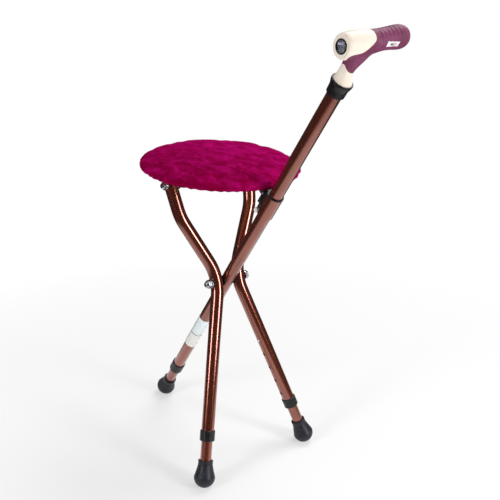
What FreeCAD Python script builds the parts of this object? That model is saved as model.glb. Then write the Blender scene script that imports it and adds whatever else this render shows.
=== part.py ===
import FreeCAD, Part
import math
import os
from types import SimpleNamespace

import Sketcher
from FreeCAD import Placement, Rotation, Vector

# Walking stick seat: a cane whose shaft is one foot of a three-legged stool.
# Two bent legs cross the shaft on one bolt. A round seat is hinged to the leg tops and to a
# sleeve that slides on the shaft, so the legs close on the shaft as the sleeve goes up.
# Frame: millimetres, +Z up, floor at Z = 0, +X towards the handle, the pivot bolt along Y,
# the origin on the floor under the middle of the whole stick seat.

# Driving sizes: name, value, what it is.
SIZES = (
    ("pivot_height", 321.4, "pivot bolt above the floor"),
    ("shaft_tilt", 34.6, "shaft from the vertical, degrees, towards +X"),
    ("leg_tilt", 16.2, "plane of the legs from the vertical, degrees, towards -X"),
    ("hinge_arm", 176, "pivot to leg-top hinge, in the plane of the legs"),
    ("link_length", 149.3, "leg-top hinge to sleeve hinge"),
    ("sleeve_arm", 20, "sleeve hinge from the shaft's axis"),
    ("tube_diameter", 22, "shaft and leg tubes"),
    ("tube_wall", 1.3, "wall of the shaft and leg tubes"),
    ("slide_gap", 0.25, "radial gap round an extension tube"),
    ("extension_wall", 1.2, "wall of the extension tubes"),
    ("running_gap", 0.1, "radial gap of a pin that turns in its hole"),
    ("seat_gap", 0.05, "radial gap of a piece pushed on or in and left there"),
    ("face_gap", 0.3, "gap between faces that turn past each other"),
    ("shaft_rise", 438, "top of the shaft tube above the pivot, along it"),
    ("shaft_drop", 298, "bottom of the shaft tube below the pivot, along it"),
    ("bend_radius", 85, "centre line of the leg bends"),
    ("lower_splay", 16.2, "lower leg outwards, degrees in the plane of the legs"),
    ("upper_splay", 26.2, "middle of the leg outwards, degrees"),
    ("top_splay", 8, "leg top outwards, degrees"),
    ("leg_straight", 241, "straight run below the lower bend"),
    ("leg_middle", 79, "straight run between the bends"),
    ("leg_top_margin", 12, "leg tube past the hinge bolt"),
    ("hole_diameter", 6.2, "height holes"),
    ("hole_pitch", 28, "height holes, centre to centre"),
    ("hole_count", 5, "height holes in each tube"),
    ("hole_margin", 30, "lowest height hole of a leg above the tube's end"),
    ("shaft_hole_margin", 66, "lowest height hole of the shaft above its end"),
    ("button_diameter", 6, "snap button"),
    ("button_proud", 1.2, "snap button past the outer tube"),
    ("clip_height", 28, "spring clip, overall"),
    ("clip_width", 5, "spring clip strip"),
    ("clip_strip", 0.7, "spring clip strip thickness"),
    ("clip_below", 5, "spring clip below the button's centre"),
    ("extension_above", 26, "extension tube above the button's centre"),
    ("foot_radius", 18, "round bottom of the rubber feet"),
    ("foot_height", 46, "rubber feet, overall"),
    ("foot_top_diameter", 25, "rubber feet at the top"),
    ("foot_floor", 14, "rubber under the foot's socket"),
    ("collar_diameter", 25.4, "lock collars"),
    ("collar_height", 18, "lock collars"),
    ("collar_lip", 3, "lock collar below the outer tube's end"),
    ("shaft_collar_height", 24, "lock collar of the shaft"),
    ("bolt_diameter", 8, "pivot bolt"),
    ("bush_diameter", 12, "pivot bush barrel"),
    ("bush_flange", 18, "pivot bush flange diameter"),
    ("bush_flange_thick", 0.8, "pivot bush flange"),
    ("bolt_head", 13, "pivot bolt head across flats"),
    ("bolt_head_thick", 5.3, "pivot bolt head"),
    ("washer_diameter", 16, "pivot washers"),
    ("washer_thick", 1.4, "pivot washers"),
    ("nut_height", 11, "domed pivot nut"),
    ("hinge_bolt_diameter", 6, "leg-top hinge bolts"),
    ("hinge_head", 11, "leg-top hinge bolt head diameter"),
    ("hinge_head_thick", 4.6, "leg-top hinge bolt head"),
    ("hinge_nut", 10, "leg-top hinge nut across flats"),
    ("hinge_nut_thick", 5, "leg-top hinge nut"),
    ("saddle_diameter", 15, "saddle washers at the leg tops"),
    ("saddle_thick", 1.6, "saddle washers at their thinnest"),
    ("plug_flange", 2, "plug cap over the leg top"),
    ("plug_stem", 7, "plug stem in the leg top"),
    ("seat_tilt", 3.5, "seat down towards the handle, degrees"),
    ("seat_rise", 26.3, "board's underside above the leg-top hinge, square to the board"),
    ("seat_reach", 26.2, "leg-top hinge to the seat's centre, along the board"),
    ("board_diameter", 254, "seat board"),
    ("board_thick", 8, "seat board"),
    ("foam_edge", 4, "padding on the board at its edge"),
    ("foam_crown", 6, "padding thicker in the middle by"),
    ("cover_gap", 0.3, "cover clear of board and padding"),
    ("cover_top", 1.4, "cover cloth and pile over the padding"),
    ("cover_side", 5.2, "cover cloth, pile and gather round the edge"),
    ("cover_under", 2.4, "gathered hem under the board"),
    ("hem_opening", 208, "opening of the hem under the board"),
    ("elastic_diameter", 2, "elastic in the hem"),
    ("yoke_width", 26, "leg yoke strap"),
    ("yoke_thick", 2.5, "leg yoke strap and tabs"),
    ("tab_radius", 9, "leg yoke tab round the hinge bolt"),
    ("screw_head", 8, "seat screw head diameter"),
    ("screw_shank", 4, "seat screw shank diameter"),
    ("screw_grip", 6, "seat screw in the board"),
    ("clevis_plate", 2.4, "seat clevis base plate"),
    ("clevis_ear", 2, "seat clevis ears"),
    ("clevis_length", 30, "seat clevis base plate along the seat"),
    ("clevis_width", 25, "seat clevis base plate across the seat"),
    ("clevis_clear", 7, "seat clevis base plate short of the hinge pin"),
    ("hem_notch", 27, "notch in the hem for the clevis"),
    ("ear_radius", 5.2, "ears round the sleeve hinge pin"),
    ("ear_half_gap", 5, "half the space between the sleeve's ears"),
    ("ear_thick", 2, "sleeve ears"),
    ("hinge_pin", 5, "sleeve hinge pin diameter"),
    ("pin_head", 1.6, "pin heads"),
    ("sleeve_diameter", 26, "sliding sleeve"),
    ("sleeve_wall", 0.9, "sliding sleeve wall"),
    ("sleeve_above", 8.7, "sleeve above its hinge, along the shaft"),
    ("sleeve_below", 34, "sleeve below its hinge, along the shaft"),
    ("liner_gap", 0.4, "radial gap between liner and shaft"),
    ("liner_lip", 1.8, "sleeve liner lip height"),
    ("liner_lip_proud", 0.4, "sleeve liner lip past the sleeve"),
    ("lever_drop", 18, "lever pin below the sleeve hinge, along the shaft"),
    ("lever_arm", 21.5, "lever pin to brake roller, along the shaft"),
    ("lever_offset", 17.6, "lever pin from the shaft's axis"),
    ("lever_width", 5, "release lever"),
    ("lever_thick", 3.6, "release lever"),
    ("lever_tail", 6, "release lever above its pin"),
    ("lever_eye", 3.8, "release lever round the roller's waist, radius"),
    ("lever_pin", 4, "lever pin diameter"),
    ("roller_diameter", 8.4, "brake roller"),
    ("roller_length", 14, "brake roller"),
    ("roller_waist", 3.8, "brake roller waist diameter"),
    ("roller_gap", 0.6, "brake roller clear of the shaft, released"),
    ("band_start", 116.5, "first reflective band below the pivot, along the shaft"),
    ("band_height", 46, "first reflective band"),
    ("band_low_height", 38, "second reflective band"),
    ("band_thick", 0.4, "reflective bands"),
    ("band_split", 2, "space between the bands"),
    ("band_cover", 300, "reflective bands round the tube, degrees"),
    ("cup_height", 23, "handle collar"),
    ("cup_drop", 20.6, "handle collar below the shaft's top"),
    ("cup_diameter", 27, "handle collar at the bottom"),
    ("cup_rim", 32, "handle collar at the rim"),
    ("cup_lip", 1.3, "handle collar wall at the rim"),
    ("stem_depth", 40, "handle stem in the shaft tube"),
    ("stem_rise", 30, "handle stem above the shaft tube"),
    ("stem_diameter", 13, "handle stem in the handle"),
    ("torch_rise", 59, "torch axis above the shaft tube, along the shaft"),
    ("torch_front", 38.5, "front of the torch head from the shaft's axis"),
    ("torch_bore", 18.6, "bore of the torch head"),
    ("bezel_diameter", 19.8, "torch bezel"),
    ("bezel_depth", 5.4, "torch bezel"),
    ("bezel_proud", 1.2, "torch bezel past the head"),
    ("bezel_opening", 15.4, "torch bezel opening"),
    ("lens_thick", 1.4, "torch lens"),
    ("board_disc", 1.6, "lamp board"),
    ("reflector_depth", 12, "torch reflector"),
    ("lamp_diameter", 5, "lamp"),
    ("cell_diameter", 11.6, "button cells"),
    ("cell_height", 5.4, "button cells"),
    ("cell_count", 3, "button cells"),
    ("cell_spring", 4, "contact spring, pressed"),
    ("switch_along", 35, "switch plate's centre from the shaft's axis"),
    ("switch_up", 71, "switch plate's centre above the shaft tube"),
    ("switch_length", 22, "switch plate"),
    ("switch_height", 7, "switch plate"),
    ("switch_thick", 2, "switch plate"),
    ("switch_face", 14.6, "switch plate's face from the shaft's mid plane"),
    ("slider_length", 6, "switch slider"),
    ("slider_height", 3, "switch slider"),
    ("grip_thick", 2.2, "soft grip over the shells"),
    ("screw_small", 3, "handle screw shank diameter"),
    ("screw_small_head", 6, "handle screw head diameter"),
    ("slider_travel", 4, "switch slider travel"),
)

# Handle sections across its long axis: distance along it, centre above the shaft tube, radius.
HANDLE_RINGS = (
    (-38.5, 59.0, 14.8),
    (-36.0, 59.1, 16.4),
    (-28.0, 60.0, 17.3),
    (-12.0, 62.0, 17.3),
    (8.0, 64.0, 15.7),
    (31.0, 68.0, 14.5),
    (49.0, 69.8, 15.6),
    (61.0, 70.5, 15.1),
    (66.2, 71.0, 12.6),
    (68.4, 71.3, 8.6),
    (69.2, 71.4, 3.5),
)

# Handle neck sections along the shaft: height above the shaft tube, centre along the handle,
# half-length along the handle, half-width across it.
NECK_RINGS = (
    (1.8, 0.0, 13.8, 13.8),
    (8.0, -0.8, 12.2, 12.2),
    (18.0, -4.0, 9.8, 9.8),
    (32.0, -3.5, 11.5, 10.5),
    (44.0, -3.0, 17.5, 12.5),
    (54.0, -3.0, 27.0, 13.5),
)

# Edge of the soft grip, seen across the handle: along it, above the shaft tube. The edge runs
# smoothly through these places, and the last two lie beyond the handle.
GRIP_EDGE = (
    (6.0, 92.0),
    (6.0, 80.0),
    (5.0, 76.5),
    (1.5, 73.5),
    (-6.0, 69.0),
    (-16.0, 62.6),
    (-26.0, 60.0),
    (-33.0, 58.0),
    (-35.6, 53.5),
    (-32.5, 47.0),
    (-17.5, 37.0),
    (-15.0, 30.5),
    (-11.5, 25.0),
    (-5.0, 22.6),
    (4.0, 23.2),
    (30.0, 27.0),
    (95.0, 42.0),
    (95.0, 102.0),
)

doc = FreeCAD.newDocument("WalkingStickSeat")
sheet = doc.addObject("Spreadsheet::Sheet", "Sizes")


class Term:
    """A size, with the formula on the sheet's cells that gives it."""

    def __init__(self, value, text):
        self.value = float(value)
        self.text = text

    def join(self, other, sign, value):
        return Term(value, "(%s %s %s)" % (self.text, sign, term(other).text))

    def __add__(self, other):
        return self.join(other, "+", self.value + term(other).value)

    def __sub__(self, other):
        return self.join(other, "-", self.value - term(other).value)

    def __mul__(self, other):
        return self.join(other, "*", self.value * term(other).value)

    def __truediv__(self, other):
        return self.join(other, "/", self.value / term(other).value)

    def __radd__(self, other):
        return term(other) + self

    def __rsub__(self, other):
        return term(other) - self

    def __rmul__(self, other):
        return term(other) * self

    def __neg__(self):
        return Term(-self.value, "(0 - %s)" % self.text)


def term(thing):
    """A plain number as a Term."""
    if isinstance(thing, Term):
        return thing
    return Term(thing, repr(float(thing)))


def sine(angle):
    return Term(math.sin(math.radians(angle.value)), "sin(%s)" % angle.text)


def cosine(angle):
    return Term(math.cos(math.radians(angle.value)), "cos(%s)" % angle.text)


def fill_sheet():
    """Writes the driving sizes to the sheet and returns them by name."""
    named = {}
    for row, (name, value, note) in enumerate(SIZES, start=1):
        sheet.set("A%d" % row, name)
        sheet.set("B%d" % row, str(value))
        sheet.set("C%d" % row, note)
        sheet.setAlias("B%d" % row, name)
        named[name] = Term(value, "Sizes." + name)
    doc.recompute()
    return SimpleNamespace(**named)


z = fill_sheet()
nodes = {}


def bind(thing, prop, length):
    """Ties a property to the sheet."""
    thing.setExpression(prop, term(length).text)


def keep(name, thing, placement=None):
    """Makes an object a sub-part of the stick seat, with its own label."""
    thing.Label = name
    if placement is not None:
        thing.Placement = placement
    nodes[name] = thing
    return thing


# Reference directions and places
TILT = math.radians(z.shaft_tilt.value)
LEAN = math.radians(z.leg_tilt.value)
ACROSS = Vector(0, 1, 0)
UP_SHAFT = Vector(math.sin(TILT), 0, math.cos(TILT))
OFF_SHAFT = Vector(-math.cos(TILT), 0, math.sin(TILT))
UP_LEGS = Vector(-math.sin(LEAN), 0, math.cos(LEAN))

tube_radius = z.tube_diameter / 2
tube_bore = tube_radius - z.tube_wall
extension_radius = tube_bore - z.slide_gap
extension_bore = extension_radius - z.extension_wall


def floor_middle():
    """How far the pivot stands from the middle of the stick seat, along X."""
    grip_along, grip_up, grip_radius = max(HANDLE_RINGS, key=lambda ring: ring[1] + ring[2])
    top = (z.shaft_rise.value + grip_up) * UP_SHAFT.x + grip_radius
    drop = (z.pivot_height.value - z.foot_radius.value) / UP_SHAFT.z
    low = -drop * UP_SHAFT.x - z.foot_radius.value
    return -(top + low) / 2


PIVOT = Vector(floor_middle(), 0, z.pivot_height.value)


def turned(x_axis, z_axis):
    return Rotation(x_axis, z_axis.cross(x_axis), z_axis, "ZXY")


def on_shaft(along, off=0.0, across=0.0):
    """A place on the shaft: local Z up the shaft, local Y towards the seat, local X along +Y."""
    base = PIVOT + UP_SHAFT * term(along).value + OFF_SHAFT * term(off).value
    return Placement(base + ACROSS * term(across).value, turned(ACROSS, UP_SHAFT))


def crossing(along, off, across):
    """The same place, with local Z along +Y, for pins and bolts."""
    base = on_shaft(along, off, across).Base
    return Placement(base, turned(UP_SHAFT, ACROSS))


def along_handle(along, up):
    """A place on the handle's long axis: local Z along it, towards the grip's end."""
    base = PIVOT + UP_SHAFT * (z.shaft_rise.value + term(up).value) + ACROSS * term(along).value
    return Placement(base, turned(UP_SHAFT, ACROSS))


# Sketches and features
def new_body(name):
    return doc.addObject("PartDesign::Body", name)


def sketch_on(body, role, name, lift=None):
    """A sketch on one of the body's own origin planes, lifted square to it."""
    sketch = body.newObject("Sketcher::SketchObject", name)
    plane = [plane for plane in body.Origin.OriginFeatures if plane.Role == role][0]
    sketch.AttachmentSupport = (plane, [""])
    sketch.MapMode = "FlatFace"
    if lift is not None:
        bind(sketch, "AttachmentOffset.Base.z", lift)
    return sketch


def pin_down(sketch, geometry, corner, place):
    """Ties a point of a sketch to the sheet, measured from the sketch's origin."""
    for kind, axis, distance in (("DistanceX", -2, place[0]), ("DistanceY", -1, place[1])):
        distance = term(distance)
        if distance.value == 0:
            sketch.addConstraint(Sketcher.Constraint("PointOnObject", geometry, corner, axis))
            continue
        if distance.value > 0:
            parts = (kind, -1, 1, geometry, corner, distance.value)
        else:
            parts = (kind, geometry, corner, -1, 1, -distance.value)
        index = sketch.addConstraint(Sketcher.Constraint(*parts))
        sketch.setExpression("Constraints[%d]" % index, (distance if distance.value > 0 else -distance).text)


def pin_centre(sketch, geometry, centre, start, end):
    """Ties the one freedom that an arc between two pinned corners has left."""
    upright = abs(end.x - start.x) > abs(end.y - start.y)
    distance = term(centre[1] if upright else centre[0])
    kind = "DistanceY" if upright else "DistanceX"
    if distance.value == 0:
        sketch.addConstraint(Sketcher.Constraint("PointOnObject", geometry, 3, -1 if upright else -2))
        return
    if distance.value > 0:
        parts = (kind, -1, 1, geometry, 3, distance.value)
    else:
        parts = (kind, geometry, 3, -1, 1, -distance.value)
    index = sketch.addConstraint(Sketcher.Constraint(*parts))
    sketch.setExpression("Constraints[%d]" % index, (distance if distance.value > 0 else -distance).text)


def edge_between(start, end, centre):
    """A straight edge, or the shorter arc round a centre, and whether the arc starts at the start."""
    if centre is None:
        return Part.LineSegment(start, end), True
    middle = Vector(term(centre[0]).value, term(centre[1]).value, 0)
    ring = Part.Circle(middle, Vector(0, 0, 1), (start - middle).Length)
    first = math.atan2(start.y - middle.y, start.x - middle.x)
    last = math.atan2(end.y - middle.y, end.x - middle.x)
    forward = (last - first) % (2 * math.pi) < math.pi
    low, high = (first, last) if forward else (last, first)
    return Part.ArcOfCircle(ring, low, high if high > low else high + 2 * math.pi), forward


def outline(sketch, corners):
    """A closed outline through the corners; a third entry is the centre of the arc that follows."""
    spots = [Vector(term(corner[0]).value, term(corner[1]).value, 0) for corner in corners]
    first = sketch.GeometryCount
    count = len(spots)
    ends = []
    for index, spot in enumerate(spots):
        centre = corners[index][2] if len(corners[index]) > 2 else None
        edge, forward = edge_between(spot, spots[(index + 1) % count], centre)
        sketch.addGeometry(edge, False)
        ends.append((1, 2) if forward else (2, 1))
    for index, corner in enumerate(corners):
        before = (index - 1) % count
        start = ends[index][0]
        joint = (first + before, ends[before][1], first + index, start)
        sketch.addConstraint(Sketcher.Constraint("Coincident", *joint))
        pin_down(sketch, first + index, start, corner)
    for index, corner in enumerate(corners):
        if len(corner) > 2:
            pin_centre(sketch, first + index, corner[2], spots[index], spots[(index + 1) % count])


def circle(sketch, centre, radius):
    """A circle tied to the sheet."""
    spot = Vector(term(centre[0]).value, term(centre[1]).value, 0)
    geometry = sketch.addGeometry(Part.Circle(spot, Vector(0, 0, 1), term(radius).value), False)
    pin_down(sketch, geometry, 3, centre)
    index = sketch.addConstraint(Sketcher.Constraint("Radius", geometry, term(radius).value))
    sketch.setExpression("Constraints[%d]" % index, term(radius).text)


def turned_piece(name, corners):
    """A body turned about its own Z from a half section of radius and height."""
    body = new_body(name)
    sketch = sketch_on(body, "XZ_Plane", name + "_section")
    outline(sketch, corners)
    turn = body.newObject("PartDesign::Revolution", name + "_turn")
    turn.Profile = sketch
    turn.ReferenceAxis = (sketch, ["V_Axis"])
    turn.Angle = 360
    return body


def padded_piece(name, role, draw, height, lift=None):
    """A body padded from a sketch that draw fills."""
    body = new_body(name)
    sketch = sketch_on(body, role, name + "_outline", lift)
    draw(sketch)
    pad = body.newObject("PartDesign::Pad", name + "_pad")
    pad.Profile = sketch
    bind(pad, "Length", height)
    return body


def tube_piece(name, outer, inner, height):
    """A round tube along its own Z, from radius to radius."""

    def draw(sketch):
        circle(sketch, (0, 0), outer)
        circle(sketch, (0, 0), inner)

    return padded_piece(name, "XY_Plane", draw, height)


def pocket(body, name, sketch, both_ways, backwards=False):
    """Cuts a sketch through the body and checks that it took something away."""
    doc.recompute()
    before = body.Shape.Volume
    cut = body.newObject("PartDesign::Pocket", name)
    cut.Profile = sketch
    cut.Type = 1
    cut.Midplane = both_ways
    cut.Reversed = backwards
    doc.recompute()
    if not body.Shape.Volume < before - 1e-3:
        raise RuntimeError(name + " cuts nothing")
    return cut


def repeated(body, feature, sketch, pitch, count):
    """Copies a cut up the body's own Z."""
    pattern = body.newObject("PartDesign::LinearPattern", feature.Name + "_row")
    pattern.Originals = [feature]
    pattern.Direction = (sketch, ["V_Axis"])
    bind(pattern, "Length", pitch * (count - 1))
    bind(pattern, "Occurrences", count)
    body.Tip = pattern
    return pattern


def cylinder(name, radius, height, placement):
    solid = doc.addObject("Part::Cylinder", name)
    bind(solid, "Radius", radius)
    bind(solid, "Height", height)
    solid.Placement = placement
    return solid


def block(name, length, width, height, placement):
    """A box centred on its placement's X and Y, rising from it along Z."""
    solid = doc.addObject("Part::Box", name)
    bind(solid, "Length", length)
    bind(solid, "Width", width)
    bind(solid, "Height", height)
    corner = Placement(Vector(-term(length).value / 2, -term(width).value / 2, 0), Rotation())
    solid.Placement = placement.multiply(corner)
    return solid


def cut_from(name, base, tools):
    cut = doc.addObject("Part::Cut", name)
    cut.Base = base
    tool = tools[0]
    if len(tools) > 1:
        tool = doc.addObject("Part::MultiFuse", name + "_tools")
        tool.Shapes = tools
    cut.Tool = tool
    return cut


def fused(name, shapes):
    joined = doc.addObject("Part::MultiFuse", name)
    joined.Shapes = shapes
    return joined


def grouped(name, pieces):
    """Separate solids that share one node."""
    group = doc.addObject("Part::Compound", name)
    group.Links = pieces
    return group


def moved(placement, along=0.0, rise=0.0):
    """The same turn, shifted along its own X and Z."""
    shift = Placement(Vector(term(along).value, 0, term(rise).value), Rotation())
    return placement.multiply(shift)


def flipped(placement):
    """The same place, looking the other way along Z."""
    return placement.multiply(Placement(Vector(), Rotation(Vector(1, 0, 0), 180)))


# Extension, foot, lock collar and snap button, alike on the shaft and on both legs.
# Each is drawn in the run frame of its tube: origin at the tube's lower end, Z up the tube,
# -X towards the height holes.
def hole_row(body, name, rise):
    """Height holes through the wall on the side of the body's own -X."""
    sketch = sketch_on(body, "YZ_Plane", name + "_hole")
    circle(sketch, (0, rise), z.hole_diameter / 2)
    cut = pocket(body, name + "_holes", sketch, False)
    return repeated(body, cut, sketch, z.hole_pitch, z.hole_count)


def foot(name, run, ball_rise):
    """A rubber foot with a ball bottom, a waist under its top and a socket for the tube."""
    top = z.foot_top_diameter / 2
    socket = extension_radius + z.seat_gap
    floor = z.foot_floor - z.foot_radius
    rim = z.foot_height - z.foot_radius
    body = turned_piece(name + "_body", (
        (0, -z.foot_radius, (0, 0)), (z.foot_radius, 0), (top + 1.5, 14), (top, rim - 8), (top, rim),
        (socket, rim), (socket, floor), (0, floor),
    ))
    keep(name, body, moved(run, 0, ball_rise))


def extension_tube(name, run, ball_rise, button_rise):
    """The sliding tube, from the foot's socket to above the snap button."""
    lower = ball_rise + z.foot_floor - z.foot_radius
    upper = button_rise + z.extension_above
    body = tube_piece(name + "_body", extension_radius, extension_bore, upper - lower)
    sketch = sketch_on(body, "YZ_Plane", name + "_hole")
    circle(sketch, (0, button_rise - lower), z.hole_diameter / 2)
    pocket(body, name + "_button_hole", sketch, False)
    keep(name, body, moved(run, 0, lower))


def snap_button(name, run, button_rise):
    """A domed button with a base that stays inside the extension tube."""
    radius = z.button_diameter / 2
    tip = tube_radius + z.button_proud
    base = z.clip_width / 2 + 1.2
    body = turned_piece(name + "_body", (
        (0, button_back), (base, button_back), (base, button_back + 1.4), (radius, button_back + 1.4),
        (radius, tip - 1), (radius - 1, tip), (0, tip),
    ))
    across = Placement(Vector(), Rotation(Vector(0, 1, 0), -90))
    keep(name, body, moved(run, 0, button_rise).multiply(across))


def spring_clip(name, run, button_rise):
    """A bent spring strip that carries the button and leans on the far wall."""
    strip = z.clip_strip
    front = button_back - z.seat_gap
    far = extension_bore - 0.6
    top = z.clip_height - z.clip_below
    low = -z.clip_below

    def draw(sketch):
        outline(sketch, (
            (-front, low), (strip - front, low), (strip - front, 4.5), (0, top - 3 * strip),
            (far - strip, 4.5), (far - strip, low), (far, low), (far, 5), (strip, top),
            (-strip, top), (-front, 5),
        ))

    body = padded_piece(name + "_body", "XZ_Plane", draw, z.clip_width)
    body.Group[-1].Midplane = True
    keep(name, body, moved(run, 0, button_rise))


def lock_collar(name, run, height):
    """A collar over the tube's end, bored for the extension below it."""
    outer = z.collar_diameter / 2
    socket = tube_radius + z.seat_gap
    throat = extension_radius + z.running_gap
    low = -z.collar_lip
    top = height - z.collar_lip
    body = turned_piece(name + "_body", (
        (throat, low), (outer - 1, low), (outer, low + 1), (outer, top - 1), (outer - 1, top),
        (socket, top), (socket, -z.seat_gap), (throat, -z.seat_gap),
    ))
    keep(name, body, run)


def run_set(name, run, ball_rise, button_rise, collar, collar_height):
    """All that hangs on one tube's lower end."""
    lock_collar(collar, run, collar_height)
    extension_tube(name + "_extension_tube", run, ball_rise, button_rise)
    foot(name + "_foot", run, ball_rise)
    spring_clip(name + "_clip", run, button_rise)
    snap_button(name + "_button", run, button_rise)


# Shaft
button_back = extension_bore - 2.8
hole_span = z.hole_pitch * (z.hole_count - 1)
shaft_foot_drop = (z.pivot_height - z.foot_radius) / cosine(z.shaft_tilt)
# The shaft's run frame has its -X on world +Y, so that the height holes face away.
SHAFT_RUN = on_shaft(-z.shaft_drop).multiply(Placement(Vector(), Rotation(Vector(0, 0, 1), 180)))

shaft = tube_piece("shaft_body", tube_radius, tube_bore, z.shaft_drop + z.shaft_rise)
hole_row(shaft, "shaft", z.shaft_hole_margin)
shaft.Placement = SHAFT_RUN
bush_barrel = z.bush_diameter / 2
bush_hole = cylinder("bush_hole", bush_barrel + z.seat_gap, 2 * z.tube_diameter,
                     crossing(0, 0, -z.tube_diameter))
stem_pin_rise = z.shaft_rise - z.cup_drop / 2 + 2
pin_radius = z.screw_shank / 2
pin_length = z.tube_diameter - 0.4
pin_place = crossing(stem_pin_rise, 0, -pin_length / 2)
pin_hole_shaft = cylinder("pin_hole_shaft", pin_radius + z.seat_gap, pin_length, pin_place)
keep("shaft_tube", cut_from("shaft_cut", shaft, [bush_hole, pin_hole_shaft]))
run_set("shaft", SHAFT_RUN, z.shaft_drop - shaft_foot_drop, z.shaft_hole_margin + hole_span,
        "shaft_collar", z.shaft_collar_height)


def pivot_bush(name):
    """A flanged bush, drawn outwards from the shaft's middle."""
    barrel_start = z.bolt_diameter
    flange_start = tube_radius + z.seat_gap
    bore = z.bolt_diameter / 2 + z.running_gap
    return turned_piece(name, (
        (bore, barrel_start), (bush_barrel, barrel_start), (bush_barrel, flange_start),
        (z.bush_flange / 2, flange_start), (z.bush_flange / 2, flange_start + z.bush_flange_thick),
        (bore, flange_start + z.bush_flange_thick),
    ))


PIVOT_PLACE = crossing(0, 0, 0)
bush_left = pivot_bush("bush_left")
bush_left.Placement = PIVOT_PLACE
bush_right = pivot_bush("bush_right")
bush_right.Placement = flipped(PIVOT_PLACE)
keep("pivot_bushes", grouped("bush_pair", [bush_left, bush_right]))


def reflective_band(name, start, height):
    """A band round the shaft, open over the height holes."""
    place = on_shaft(-(start + height)).multiply(
        Placement(Vector(), Rotation(Vector(0, 0, 1), (360 - z.band_cover.value) / 2)))
    inner = tube_radius + z.seat_gap
    outer = cylinder(name + "_outer", inner + z.band_thick, height, place)
    bind(outer, "Angle", z.band_cover)
    keep(name, cut_from(name + "_cut", outer, [cylinder(name + "_inner", inner, height, place)]))


reflective_band("reflective_band_upper", z.band_start, z.band_height)
reflective_band("reflective_band_lower", z.band_start + z.band_height + z.band_split, z.band_low_height)

cup_bottom = z.cup_diameter / 2
cup_top = z.cup_rim / 2
cup_seat = z.cup_drop + z.seat_gap
cup_throat = z.stem_diameter / 2 + 1
cup = turned_piece("cup_body", (
    (tube_radius + z.seat_gap, 0), (cup_bottom - 0.8, 0), (cup_bottom, 1),
    (cup_bottom + 0.3, z.cup_height / 2),
    (cup_top, z.cup_height - 3), (cup_top, z.cup_height - 1), (cup_top - 0.6, z.cup_height),
    (cup_top - z.cup_lip, z.cup_height), (cup_top - z.cup_lip, cup_seat + 1.5),
    (cup_throat, cup_seat + 1.5), (cup_throat, cup_seat), (tube_radius + z.seat_gap, cup_seat),
))
keep("handle_collar", cup, on_shaft(z.shaft_rise - z.cup_drop))

stem_radius = tube_bore - z.seat_gap
stem = turned_piece("stem_body", (
    (0, 0), (stem_radius, 0), (stem_radius, z.stem_depth), (z.stem_diameter / 2, z.stem_depth),
    (z.stem_diameter / 2, z.stem_depth + z.stem_rise), (0, z.stem_depth + z.stem_rise),
))
stem.Placement = on_shaft(z.shaft_rise - z.stem_depth)
pin_hole_stem = cylinder("pin_hole_stem", pin_radius + z.seat_gap, pin_length, pin_place)
keep("handle_stem", cut_from("stem_cut", stem, [pin_hole_stem]))
keep("handle_pin", cylinder("handle_pin_solid", pin_radius, pin_length - 0.4,
                            moved(pin_place, 0, 0.2)))

# Legs: a straight run, a bend outwards round the pivot, a middle run, a bend back and the top.
leg_offset = tube_radius * 2 + z.seat_gap + z.bush_flange_thick + z.face_gap
first_bend = Term(z.lower_splay.value + z.upper_splay.value, "(Sizes.lower_splay + Sizes.upper_splay)")
second_bend = Term(z.upper_splay.value - z.top_splay.value, "(Sizes.upper_splay - Sizes.top_splay)")
top_turn = Term(first_bend.value - second_bend.value, "(Sizes.lower_splay + Sizes.top_splay)")
low_reach = z.bend_radius * sine(z.lower_splay) + z.leg_straight * cosine(z.lower_splay)
low_spread = leg_offset + z.bend_radius * (1 - cosine(z.lower_splay)) + z.leg_straight * sine(z.lower_splay)
leg_foot_drop = (z.pivot_height - z.foot_radius) / cosine(z.leg_tilt)
leg_ball_rise = (low_reach - leg_foot_drop) / cosine(z.lower_splay)
leg_button_rise = z.hole_margin + hole_span


def leg_direction(side, angle):
    """A direction in the plane of the legs, turned outwards from straight up by the angle."""
    turn = math.radians(angle)
    return UP_LEGS * math.cos(turn) + ACROSS * (side * math.sin(turn))


def leg_point(side, spread, reach):
    return PIVOT + UP_LEGS * reach + ACROSS * (side * spread)


def leg_run(side):
    """Run frame of a leg: Z up the lower run, X outwards."""
    base = leg_point(side, low_spread.value, -low_reach.value)
    splay = z.lower_splay.value
    return Placement(base, turned(leg_direction(side, 90 - splay), leg_direction(side, -splay)))


def leg_path_points():
    """Corners and bend centres of a leg in its run frame, with X outwards and Z up the lower run."""
    radius = z.bend_radius
    start = (term(0), z.leg_straight)
    centre_one = (radius, z.leg_straight)
    bend_end = (radius * (1 - cosine(first_bend)), z.leg_straight + radius * sine(first_bend))
    middle_end = (bend_end[0] + z.leg_middle * sine(first_bend),
                  bend_end[1] + z.leg_middle * cosine(first_bend))
    centre_two = (middle_end[0] - radius * cosine(first_bend), middle_end[1] + radius * sine(first_bend))
    back_end = (centre_two[0] + radius * cosine(top_turn), centre_two[1] - radius * sine(top_turn))
    return start, centre_one, bend_end, middle_end, centre_two, back_end


def hinge_spread_and_top():
    """How far out the hinge lies, and how far the tube's top is past the second bend."""
    splay, upper, top = (math.radians(angle.value) for angle in (z.lower_splay, z.upper_splay, z.top_splay))
    radius = z.bend_radius.value
    reach = radius * math.sin(upper) + z.leg_middle.value * math.cos(upper)
    spread = leg_offset.value + radius * (1 - math.cos(upper)) + z.leg_middle.value * math.sin(upper)
    reach += radius * (math.sin(upper) - math.sin(top))
    spread += radius * (math.cos(top) - math.cos(upper))
    rest = (z.hinge_arm.value - reach) / math.cos(top)
    return spread + rest * math.sin(top), rest


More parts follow.
